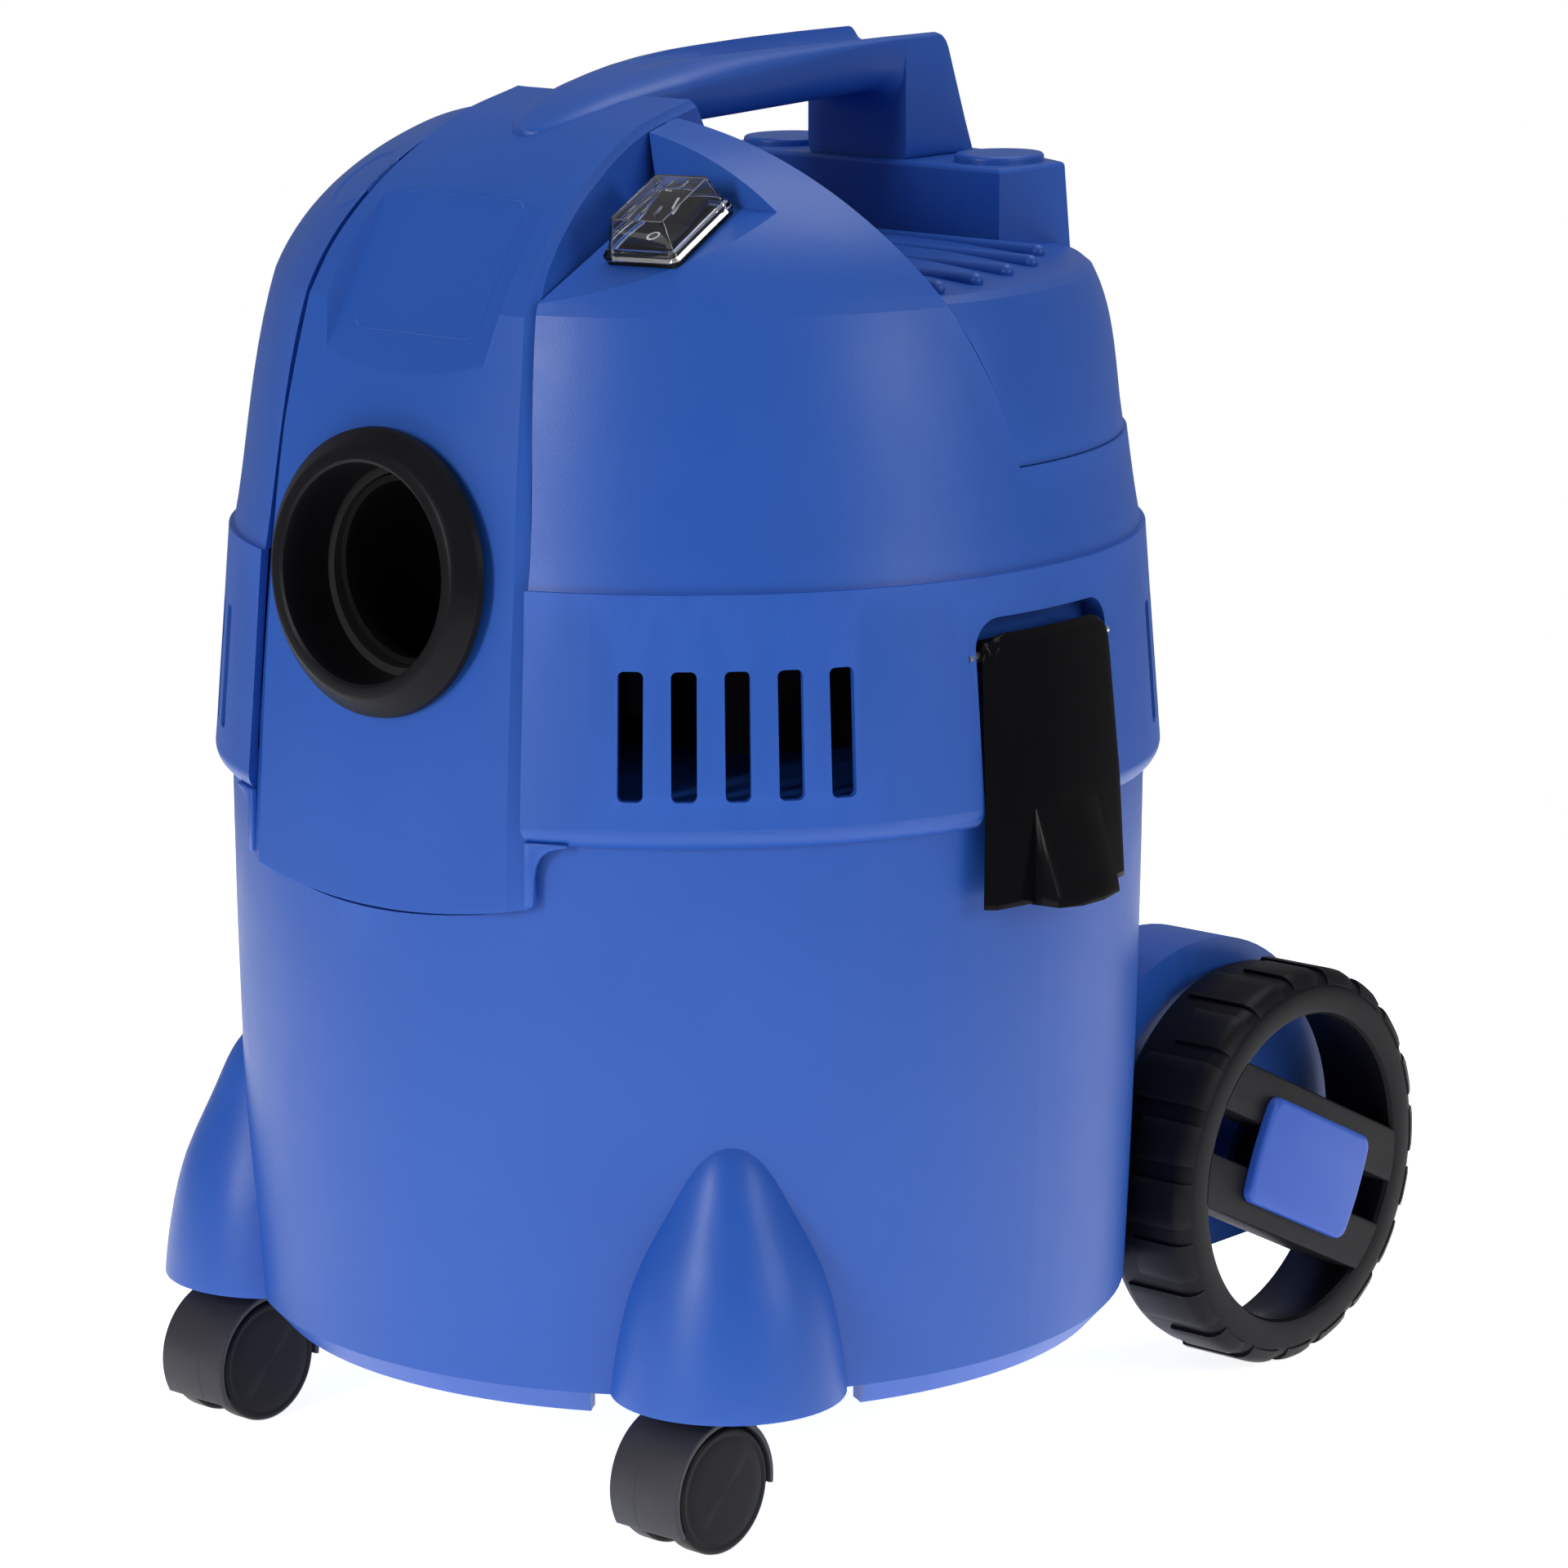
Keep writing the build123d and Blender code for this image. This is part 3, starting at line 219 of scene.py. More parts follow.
def subtract(obj, verts, faces):
    """Takes a closed solid away from a piece."""
    mesh = bpy.data.meshes.new("cutter")
    mesh.from_pydata([tuple(v) for v in verts], [], faces)
    tool = bpy.data.objects.new("cutter", mesh)
    bpy.context.scene.collection.objects.link(tool)
    cut = obj.modifiers.new("cut", "BOOLEAN")
    cut.operation = "DIFFERENCE"
    cut.object = tool
    cut.solver = "EXACT"
    freeze(obj)
    bpy.data.objects.remove(tool)
    bpy.data.meshes.remove(mesh)


def grid(rows, closed_u=False, closed_v=False):
    """Vertices and quads of a grid of points; u runs along a row and v from row to row."""
    count_v, count_u = len(rows), len(rows[0])
    verts = [p for row in rows for p in row]
    faces = []
    for i in range(count_v if closed_v else count_v - 1):
        for j in range(count_u if closed_u else count_u - 1):
            a = i * count_u + j
            b = i * count_u + (j + 1) % count_u
            c = ((i + 1) % count_v) * count_u + (j + 1) % count_u
            d = ((i + 1) % count_v) * count_u + j
            faces.append((a, b, c, d))
    return verts, faces


def circle(count):
    """Evenly spaced angles once round."""
    return np.linspace(0, 2 * math.pi, count, endpoint=False)


def rounded(half_x, half_y, radius, steps=5):
    """Outline of a rectangle with rounded corners."""
    out = []
    for quarter, (sx, sy) in enumerate(((1, 1), (-1, 1), (-1, -1), (1, -1))):
        for k in range(steps + 1):
            a = math.pi / 2 * (quarter + k / steps)
            out.append((sx * (half_x - radius) + radius * math.cos(a),
                        sy * (half_y - radius) + radius * math.sin(a)))
    return out


def bowed(outline, half_x, half_y, bulge, parts=8):
    """Rounded rectangle whose straight ends, at plus and minus half_x, are bowed outwards."""
    full = []
    for i, (x, y) in enumerate(outline):
        next_x, next_y = outline[(i + 1) % len(outline)]
        full.append((x, y))
        if abs(next_x - x) < 0.01 * half_x and abs(next_y - y) > half_y * 0.4:
            full += [(x, y + (next_y - y) * k / parts) for k in range(1, parts)]
    return [(x + math.copysign(bulge * (1 - (y / half_y) ** 2), x) * (abs(x) > half_x * 0.8), y)
            for x, y in full]


def loft(rings, cap_start=True, cap_end=True):
    """Skin over rings of equal length, with flat ends."""
    verts, faces = grid(rings, closed_u=True)
    n = len(rings[0])
    if cap_start:
        faces.append(tuple(range(n)))
    if cap_end:
        faces.append(tuple(range((len(rings) - 1) * n, len(rings) * n)))
    return verts, faces


def merge(*pairs):
    """Several lots of vertices and faces as one."""
    verts, faces = [], []
    for more_verts, more_faces in pairs:
        start = len(verts)
        verts += list(more_verts)
        faces += [tuple(i + start for i in face) for face in more_faces]
    return verts, faces


def turned(outline, place, segments=128, closed=True):
    """Lathe work on an outline of (along the axis, radius).

    place turns along, across and up into a point of the frame.
    """
    turns = [2 * math.pi * k / segments for k in range(segments)]
    rows = [[place(along, radius * math.cos(a), radius * math.sin(a)) for a in turns]
            for along, radius in outline]
    return grid(rows, closed_u=True, closed_v=closed)


def table(pairs, key):
    """Value looked up between given pairs of key and value."""
    keys, values = zip(*pairs)
    return float(np.interp(key, keys, values))


def spline_points(points, count):
    """Evenly spaced points on a smooth curve through a few given ones, by chord length."""
    p = np.array(points, float)
    step = np.r_[0, np.cumsum(np.hypot(*np.diff(p, axis=0).T))]
    t = np.linspace(0, step[-1], count)
    out = []
    for k in range(2):
        slope = np.gradient(p[:, k], step)
        i = np.clip(np.searchsorted(step, t, side="right") - 1, 0, len(p) - 2)
        h = step[i + 1] - step[i]
        u = (t - step[i]) / h
        out.append((2 * u**3 - 3 * u**2 + 1) * p[i, k] + (u**3 - 2 * u**2 + u) * h * slope[i]
                   + (3 * u**2 - 2 * u**3) * p[i + 1, k] + (u**3 - u**2) * h * slope[i + 1])
    return np.array(out).T


# ---- front band --------------------------------------------------------------------------------
# The band is a slice of a flat drum that stands on an upright axis behind it. Its outlines are
# lists of (drum radius, height), and its half widths lists of (height, half width).
DRUM_Y = 150.0
FOOT_Z = 182
KINK_Z = 354.5
DRUM_WALL = [(288.6, FOOT_Z), (286.3, 227.5), (281.9, 279.5), (277.6, 317.5), (274.2, 335.0),
             (269.9, KINK_Z)]
DRUM_TOP = [(269.9, KINK_Z), (262.3, 367.5), (247.9, 382.5), (233.7, 392.5), (215.0, 402.5),
            (190.0, 409.5)]
CREASE = [(182, 50.4), (203, 50.0), (252, 49.1), (280, 48.6), (298, 47.8), (318, 46.7), (338, 44.8),
          (352, 43.2), (368, 41.0), (382, 38.9), (392, 37.3), (400, 35.7), (410, 34.2)]
EDGE = [(182, 55.9), (250, 53.3), (284, 52.1), (320, 49.3), (354, 45.4), (380, 40.9), (397, 37.4),
        (410, 35.8)]
FIELD_FOOT = Vector((0, -122.0, 339.0))
FIELD_UP = Vector((0, 31.0, 52.0)).normalized()
FIELD_OUT = Vector((0, -FIELD_UP.z, FIELD_UP.y))
FIELD_HALF = 31.3
FIELD_DRAFT = 0.73              # lean of the field's side walls, per unit of depth
LABEL_HALF_X, LABEL_HALF_UP, LABEL_R = 24.5, 21.9, 4.5
LABEL_UP = 30.4                 # the label's middle, above the field's foot
LABEL_LINE = ((-0.22, -0.1), (0, 0.12), (0.22, -0.1))     # section of the line, outwards and up
INWARD_TILT = [(182, 3), (330, 12), (400, 52), (410, 62)]     # degrees below level, by height
STRIP_SINK = 2.4
SWEEP_Z, SWEEP_RISE = 215, 6    # below this height the band's foot sweeps up towards its sides
BAND_THICK = 2.4
FLANGE = 4.0                    # depth of the band's side walls
DEEP_FLANGE, DEEP_Z, DEEP_RUN = 20.0, 352, 40     # added on the switch side, from this height up
INLET_CENTRE = at(0, -140.5, 279.5)
INLET_TURN = Matrix.Rotation(math.radians(86), 3, "X")     # the inlet looks 4 degrees up
INLET_HOLE_R = 37.0


def drum_point(x, r, z):
    return Vector((x, DRUM_Y - math.sqrt(r * r - x * x), z))


def field_depth(p):
    """Height of a point of the drum above the label field's flat floor."""
    return (p - FIELD_FOOT).dot(FIELD_OUT)


def field_edge(r, z):
    """Half width of the field at its upper rim, where its leaning side wall meets the drum."""
    x = FIELD_HALF
    for _ in range(12):
        x = FIELD_HALF + FIELD_DRAFT * max(0.0, field_depth(drum_point(x, r, z)))
    return x


def inward(z):
    """Direction into the machine at a height, smooth over the kink."""
    a = math.radians(table(INWARD_TILT, z))
    return Vector((0, math.cos(a), -math.sin(a)))


def band_point(x, r, z):
    """Point of the band's face: the drum, with the label field and the side strips sunk in it."""
    p = drum_point(x, r, z)
    depth = field_depth(p)
    wall = max(0.0, abs(x) - FIELD_HALF) / FIELD_DRAFT
    if depth > wall:
        p -= FIELD_OUT * (depth - wall)
    crease, edge = table(CREASE, z), table(EDGE, z)
    p += inward(z) * STRIP_SINK * min(1.0, max(0.0, (abs(x) - crease) / (edge - crease))) ** 0.9
    if z < SWEEP_Z:
        p.z += (SWEEP_Z - z) / (SWEEP_Z - FOOT_Z) * SWEEP_RISE * min(1.0, (x / edge) ** 2)
    return p


def band_profile():
    """Radius and height along the drum's side, closely spaced where the face turns."""
    wall = np.r_[np.linspace(FOOT_Z, 333, 56), np.linspace(333.4, 346, 44),
                 np.linspace(346.8, KINK_Z, 12)]
    top = np.r_[KINK_Z + 0.4, np.linspace(355.6, 386, 46), np.linspace(386.4, 395, 24),
                np.linspace(395.6, DRUM_TOP[-1][1], 30)]
    out = []
    for given, heights in ((DRUM_WALL, wall), (DRUM_TOP, top)):
        points = spline_points(given, 400)
        out += [(float(np.interp(z, points[:, 1], points[:, 0])), float(z)) for z in heights]
    return out


def band_rows():
    """Closed sections across the band, from its foot to its top: face, side walls and back."""
    rows = []
    for r, z in band_profile():
        crease, edge, rim = table(CREASE, z), table(EDGE, z), field_edge(r, z)
        if rim > FIELD_HALF:
            field_wall = np.linspace(FIELD_HALF, rim, 5)[1:]
        else:
            field_wall = FIELD_HALF + np.arange(1, 5) * 0.02
        half = np.r_[np.linspace(0, FIELD_HALF, 16), field_wall]
        half = np.r_[half, np.linspace(half[-1], crease, 9)[1:],
                     crease + (edge - crease) * np.array([0.1, 0.5, 1])]
        face = [band_point(x, r, z) for x in np.r_[-half[:0:-1], half]]
        flange = FLANGE + DEEP_FLANGE * min(1.0, max(0.0, (z - DEEP_Z) / DEEP_RUN))
        right = face[-1] + inward(z) * flange
        left = face[0] + inward(z) * FLANGE
        side = Vector((BAND_THICK * 0.6, 0, 0))
        back = [p + inward(z) * BAND_THICK for p in face[-3:1:-1]]
        loop = face + [right, right - side] + back + [left + side, left]
        rows.append([at(*p) for p in loop])
    return rows


def label_outline():
    """Fine raised line round the place for a rating label."""
    rings = []
    for along, up in rounded(LABEL_HALF_X, LABEL_HALF_UP, LABEL_R, 6):
        base = FIELD_FOOT + FIELD_UP * (LABEL_UP + up) + Vector((along, 0, 0))
        out = Vector((along, 0, 0)) + FIELD_UP * up
        out.normalize()
        rings.append([at(*(base + out * a + FIELD_OUT * b)) for a, b in LABEL_LINE])
    return grid(rings, closed_u=True, closed_v=True)


def on_inlet(along, across, up):
    """Point on the inlet's own axis, counted outwards from the ring's face."""
    return INLET_CENTRE + INLET_TURN @ Vector((across, up, along)) * MM


band = solid("front_band", *loft(band_rows()), "head", BLUE, angle=180)
plug = [[on_inlet(along, INLET_HOLE_R * math.cos(a), INLET_HOLE_R * math.sin(a))
         for a in circle(96)] for along in (30, -40)]
subtract(band, *loft(plug))
shade(band, 14)
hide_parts("front_panel")
outline = solid("label_outline", *label_outline(), "head", BLUE, angle=60)


# ---- carry handle ------------------------------------------------------------------------------
# Lists of (y, value): the top line, the underside, the half width, the drop of the rounded edge
# beside the top, the highest line as a part of the half width, and the trough in the middle.
HANDLE_TOP = [(-78, 398.0), (-72, 400.9), (-60, 406.6), (-48, 410.8), (-38, 413.1), (-29, 414.9),
              (-19, 416.6), (-9, 417.8), (4, 418.6), (20, 419.1), (40, 419.5), (71, 419.9),
              (95.5, 420.0)]
HANDLE_UNDER = [(-41.4, 397.8), (71, 402.2)]
HANDLE_HALF = [(-71.6, 1.0), (-70.5, 4.6), (-66, 9), (-55, 14), (-40, 17), (-20, 19.8), (112, 19.8)]
HANDLE_DROP = [(-72, 1.5), (-50, 4.0), (-29, 5.4), (-10, 7.0), (10, 6.8), (31, 4.8), (51, 2.8),
               (72, 1.3), (112, 1.2)]
HANDLE_RIDGE = [(-72, 0.15), (-20, 0.3), (10, 0.6), (50, 0.82), (112, 0.88)]
HANDLE_TROUGH = [(-25, 0.0), (40, 5.0), (112, 5.0)]
HANDLE_END_Y = 95.5             # the top line's end, over the rear leg
NOSE_YS = (-71.6, -71.2, -70.5, -69, -66, -62, -58, -54, -50, -46, -42.5, -41.5)
NOSE_UNDER_Z = 392.0            # the nose runs down into the front band to here
GRIP_YS = np.r_[np.linspace(-41.4, 68, 40), np.linspace(71, 78.98, 12)]
ROOT_R = 8.0                    # fillet where the grip runs into the leg
LEG_Y = 79.0
LEG_FOOT_Z = 381.6
LEG_BACK = ((LEG_Y, 419.93), (84, 419.95), (90, 419.98), (95.5, 420.0), (97, 419.5), (98.4, 418.2),
            (99.6, 416), (100.1, 414.6), (104, 403.9), (108, 393), (111.9, 382.3))


def handle_ring(y, top, under, square):
    """Section across the handle; square runs from 0, the rounded grip, to 1, the flat leg."""
    half = table(HANDLE_HALF, y)
    ridge = half * table(HANDLE_RIDGE, y)
    drop = min(table(HANDLE_DROP, y), (top - under) * 0.45)
    floor = min(top, table(HANDLE_TOP, min(y, HANDLE_END_Y)) - table(HANDLE_TROUGH, y))
    right = [(0, floor), (ridge * 0.5, floor), (ridge * 0.82, floor + (top - floor) * 0.08),
             (ridge * 0.94, floor + (top - floor) * 0.5)]
    for a in np.linspace(0, math.pi / 2, 10):
        right.append((ridge + (half - ridge) * math.sin(a), top - drop * (1 - math.cos(a))))
    side_power, foot_power = 0.6 - 0.52 * square, 0.8 - 0.7 * square
    for t in np.linspace(0, math.pi / 2, 14)[1:]:
        right.append((half * max(0.0, math.cos(t)) ** side_power if t < 1.57 else 0.0,
                      top - drop - (top - drop - under) * math.sin(t) ** foot_power))
    return [at(x, y, z) for x, z in right] + [at(-x, y, z) for x, z in right[-2:0:-1]]


rings = []
for y in NOSE_YS:
    rings.append(handle_ring(y, table(HANDLE_TOP, y), NOSE_UNDER_Z, 0.0))
for y in GRIP_YS:
    past = max(0.0, y - (LEG_Y - ROOT_R))
    root = ROOT_R - math.sqrt(max(0.0, ROOT_R**2 - past**2))
    rings.append(handle_ring(y, table(HANDLE_TOP, y), table(HANDLE_UNDER, y) - root, 0.0))
for y, top in LEG_BACK:
    rings.append(handle_ring(y, top, LEG_FOOT_Z, 1.0))
handle = solid("grip", *loft(rings), "head", BLUE, angle=38)
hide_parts("carry_handle")


# ---- round plug on the dome's left shoulder ----------------------------------------------------
# Its rings of (radius, lift) are laid on the dome cover's own surface.
PLUG_RINGS = ((13.1, -0.8), (13.1, 0.0), (12.9, 0.25), (12.5, 0.3), (12.2, 0.05), (9.0, 0.05),
              (4.0, 0.05))
dome = frame["nodes"]["dome_cover"]
to_dome = dome.matrix_world.inverted()
plug_at = at(-50.5, -85.8, 384.7)
plug_up = dome.closest_point_on_mesh(to_dome @ plug_at)[2].normalized()
plug_side = plug_up.orthogonal().normalized()
plug_other = plug_up.cross(plug_side)
rings = []
for radius, lift in PLUG_RINGS:
    ring = []
    for a in circle(72):
        spot = plug_at + (plug_side * math.cos(a) + plug_other * math.sin(a)) * radius * MM
        touch = dome.closest_point_on_mesh(to_dome @ spot)[1]
        ring.append(dome.matrix_world @ touch + plug_up * lift * MM)
    rings.append(ring)
shoulder_plug = solid("shoulder_plug", *loft(rings), "head", BLUE, angle=50)


# ---- switch ------------------------------------------------------------------------------------
# Rings of the clear boot are (half width, half length, corner radius, height over the panel): up
# the inside, over the flange and up the outside.
BOOT_RINGS = (
    (8.5, 12.2, 0.7, 12.6), (10.4, 14.2, 1.0, 4.9), (10.4, 14.2, 1.2, 1.75),
    (12.9, 17.0, 2.6, 1.75), (13.0, 17.1, 2.8, 2.1), (13.0, 17.1, 2.8, 3.0),
    (12.5, 16.6, 2.4, 3.3), (12.2, 16.3, 2.3, 4.3), (11.6, 15.6, 2.0, 4.7), (11.1, 14.9, 1.2, 4.9),
    (9.2, 13.0, 1.0, 12.9), (8.9, 12.7, 0.9, 13.3))
RIB_RINGS = ((0.55, 13.2), (0.5, 13.8), (0.3, 14.0))     # half width and height of a boot's rib
FRAME_RINGS = ((12.2, 16.2, 1.6, 0.2), (12.2, 16.2, 1.6, 1.2), (11.9, 15.9, 1.4, 1.6),
               (9.2, 13.0, 0.8, 1.6), (9.0, 12.8, 0.8, -3.5))
HOUSING_RINGS = ((10.0, 13.6, 0.8, 0.2), (10.0, 13.6, 0.8, -17))
PIVOT = Vector(JOINTS["rocker_press"]["pos_m"])
PIVOT_Z = 1.0                   # height of the pivot over the panel
SWITCH_TURN = (Matrix.Rotation(math.radians(24.5), 3, "X")
               @ Matrix.Rotation(math.radians(2), 3, "Y")
               @ Matrix.Rotation(math.radians(7), 3, "Z"))
ROCKER_TURN = Matrix.Rotation(math.radians(7), 3, "X")     # half of its travel
ROCKER_HALF = 11.6
BAR_Y, RING_Y, RING_R, RING_HOLE_R = 6.6, -6.8, 2.3, 1.6
MARK_FOOT, MARK_TOP = -0.2, 0.12     # a mark's lower and upper face, about the rocker's face


def on_switch(x, y, z):
    """Point on the switch's own axes, counted from its panel."""
    return PIVOT + SWITCH_TURN @ Vector((x, y, z - PIVOT_Z)) * MM


def on_rocker(x, y, z):
    """Point on the rocker, which leans about its pivot."""
    p = ROCKER_TURN @ Vector((x, y, z - PIVOT_Z))
    return on_switch(p.x, p.y, p.z + PIVOT_Z)


def switch_rings(sizes):
    return [[on_switch(x, y, z) for x, y in rounded(half_x, half_y, radius)]
            for half_x, half_y, radius, z in sizes]


def rocker_top(y):
    part = y / ROCKER_HALF
    return 3.6 + 2.0 * abs(part) + 0.35 * math.cos(part * math.pi * 0.5)


def mark_ring(radius, up):
    """One edge of the round mark, on the rocker's curved face."""
    ring = []
    for a in circle(36):
        y = RING_Y + radius * math.sin(a)
        ring.append(on_rocker(radius * 0.85 * math.cos(a), y, rocker_top(y) + up))
    return ring


ribs = []
for x in (-4.6, 0, 4.6):
    for y in (-7.6, 7.2):
        ribs.append(loft([[on_switch(x + a, y + b, z) for a, b in rounded(half, 2.2, half, 3)]
                          for half, z in RIB_RINGS]))
boot = merge(loft(switch_rings(BOOT_RINGS)), *ribs)
boot = solid("switch_boot", *boot, "head", CLEAR, bevel=0.25, angle=25)
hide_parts("switch_cover")

rows = []
for y in np.linspace(-ROCKER_HALF, ROCKER_HALF, 25):
    top, foot = rocker_top(y), -4.0 + abs(y) / 3
    rows.append([on_rocker(x, y, z) for x, z in (
        (-8.2, foot), (-8.2, top - 0.5), (-7.7, top), (0, top + 0.05), (7.7, top), (8.2, top - 0.5),
        (8.2, foot))])
rocker = solid("rocker", *loft(rows), "rocker", BLACK, bevel=0.3, angle=40)
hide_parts("switch_rocker")

bar = loft([[on_rocker(a, BAR_Y + b, rocker_top(BAR_Y + b) + up)
             for a, b in rounded(0.42, 2.3, 0.3, 2)] for up in (MARK_FOOT, MARK_TOP)])
round_mark = grid([mark_ring(RING_R, MARK_FOOT), mark_ring(RING_R, MARK_TOP),
                   mark_ring(RING_HOLE_R, MARK_TOP), mark_ring(RING_HOLE_R, MARK_FOOT)],
                  closed_u=True, closed_v=True)
marks = solid("rocker_marks", *merge(bar, round_mark), "rocker", WHITE, angle=60)

bezel = merge(loft(switch_rings(FRAME_RINGS), cap_start=False), loft(switch_rings(HOUSING_RINGS)))
bezel = solid("switch_frame", *bezel, "head", BLACK, bevel=0.2)
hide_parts("switch_body")


# ---- parts that come in a left and a right -----------------------------------------------------
# side is "right" or "left", and s is 1 or -1: the left one is the right one with x turned round.
CORNER_RADII = (141.0, 143.2)   # back and face of the belt's corner, about the tank's axis
CORNER_TURN = 22.7              # degrees from the front, where the corner starts
CORNER_OUTLINE = ((0, 188.6), (2.4, 188.6), (2.9, 190), (3.2, 197.5), (3.7, 200.5), (5.0, 203.2),
                  (7.2, 205.1), (10, 206.1), (13, 206.4), (13, 207.5), (0, 207.5))
LATCH_FACE = [(183.5, 148.7), (215, 147.3), (250, 144.2), (262.3, 142.9)]     # height, radius
LATCH_FOOT, LATCH_TOP = 183.5, 262.3
LATCH_HALF, LATCH_TAPER = 32.0, 4.0     # half width at the foot, and how much less at the top
LATCH_CORNER = 8.0
LATCH_THICK = 2.9
LATCH_EDGE, LATCH_ROUND = 0.93, 2.2     # the outer part of the width that falls off, and how far
LATCH_ACROSS = np.r_[-1, -0.97, np.linspace(-0.93, 0.93, 21), 0.97, 1]
LATCH_HEIGHTS = np.r_[np.linspace(LATCH_FOOT, LATCH_TOP - LATCH_CORNER, 40),
                      LATCH_TOP - LATCH_CORNER * np.cos(np.linspace(0.1, math.pi / 2, 14))]
FINGER_WEDGE = (                # half rings of (x, y, z) that stand on the plate's foot
    ((146.5, 15.6, 182.9), (156.0, 14.3, 183.0), (157.2, 5, 182.2)),
    ((146.5, 15.4, 186.0), (155.4, 14.2, 186.4), (156.4, 5, 186.0)),
    ((145.5, 14.2, 211), (147.0, 14.1, 211), (147.5, 5, 211)))
HINGE_X, HINGE_Z, HINGE_R, HINGE_HALF = 135.5, 256, 4.6, 27
ARM_OUTLINE = ((134, 259.5), (138, 260.5), (138.6, 249), (134.5, 252))
WHEEL_Y, WHEEL_Z = 152.8, 63.8
WHEEL_IN, WHEEL_OUT = 92.4, 124.4     # the rim's inner and outer face
LUGS = 20
BAR_TILT = math.radians(-25.6)
BAR_MIDDLE, BAR_HALF, BAR_REACH = 15.3, 8.3, 50.3
CAP_HALF_X, CAP_HALF_Y, CAP_R, CAP_BULGE = 28.4, 17.2, 3.6, 1.3
CAP_STEPS = ((124.3, 0.6), (124.5, 0), (126.4, 0.1), (127.0, 0.4), (127.4, 1.0), (127.6, 1.9))
CASTER_X, CASTER_STEM_Y, CASTER_TRAIL, CASTER_AXLE_Z = 93.7, -88.2, 16, 19
GUARD_SECTION = [(-13, 19.7), (-13, 21.0), (-12.5, 21.4), (0, 21.5), (12.5, 21.4), (13, 21.0),
                 (13, 19.7), (0, 19.7)]
GUARD_SEAM = ((-3.4, 21.4), (-3.2, 21.62), (-3.0, 21.4))
DISC_OUTLINE = [(4.8, 2.6), (4.8, 18.2), (5.4, 18.9), (6.2, 19.0), (11.2, 19.0), (12.2, 18.7),
                (12.75, 17.9), (12.8, 16.9), (12.55, 16.3), (12.7, 15.7), (12.95, 12), (13.0, 0.05)]


def build_corner(side, s):
    """Rounded inner corner where the belt's lower edge runs into the front band."""
    rings = []
    for radius in CORNER_RADII:
        ring = []
        for along, z in CORNER_OUTLINE:
            a = math.radians(CORNER_TURN) + along / 143
            ring.append(at(s * radius * math.sin(a), -radius * math.cos(a), z))
        rings.append(ring)
    corner = solid("belt_corner_" + side, *loft(rings), "head", BLUE, bevel=0.5, angle=60)


def build_latch(side, s):
    """Curved latch plate with its finger wedge, and the hinge behind it."""
    def skin(z, t, sink):
        """Point of the plate at a height; t is -1 to 1 across it, sink the depth under its face."""
        half = LATCH_HALF - LATCH_TAPER * (z - LATCH_FOOT) / (LATCH_TOP - LATCH_FOOT)
        corner_z = LATCH_TOP - LATCH_CORNER
        if z > corner_z:
            half += math.sqrt(max(0.0, LATCH_CORNER**2 - (z - corner_z) ** 2)) - LATCH_CORNER
        edge = max(0.0, abs(t) - LATCH_EDGE) / (1 - LATCH_EDGE) * LATCH_ROUND
        crown = max(0.0, z - LATCH_TOP + 3.0) * 0.8
        radius = table(LATCH_FACE, z) - max(edge, crown, sink)
        y = half * t
        return at(s * math.sqrt(radius * radius - y * y), y, z)

    front, back = [[[skin(z, t, sink) for t in LATCH_ACROSS] for z in LATCH_HEIGHTS]
                   for sink in (0.0, LATCH_THICK)]
    rims = []
    for rows in (front, back):
        rims.append(rows[0] + [row[-1] for row in rows[1:-1]] + rows[-1][::-1]
                    + [row[0] for row in rows[-2:0:-1]])
    plate = merge(grid(front), grid(back), grid(rims, closed_u=True))
    wedge = loft([[at(s * x, -y, z) for x, y, z in half]
                  + [at(s * x, y, z) for x, y, z in half[::-1]] for half in FINGER_WEDGE])
    latch = solid("latch_plate_" + side, *merge(plate, wedge), "latch_" + side, GLOSS, bevel=0.4,
                  angle=28)
    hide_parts("latch_" + side)

    knuckle = turned([(-HINGE_HALF, 0.1), (-HINGE_HALF, HINGE_R), (HINGE_HALF, HINGE_R),
                      (HINGE_HALF, 0.1)],
                     lambda along, out, up: at(s * (HINGE_X + out), along, HINGE_Z + up),
                     28, closed=False)
    arm = loft([[at(s * x, y, z) for x, z in ARM_OUTLINE] for y in (-25, 25)])
    hinge = solid("latch_hinge_" + side, *merge(knuckle, arm), "latch_" + side, GLOSS, bevel=0.4)


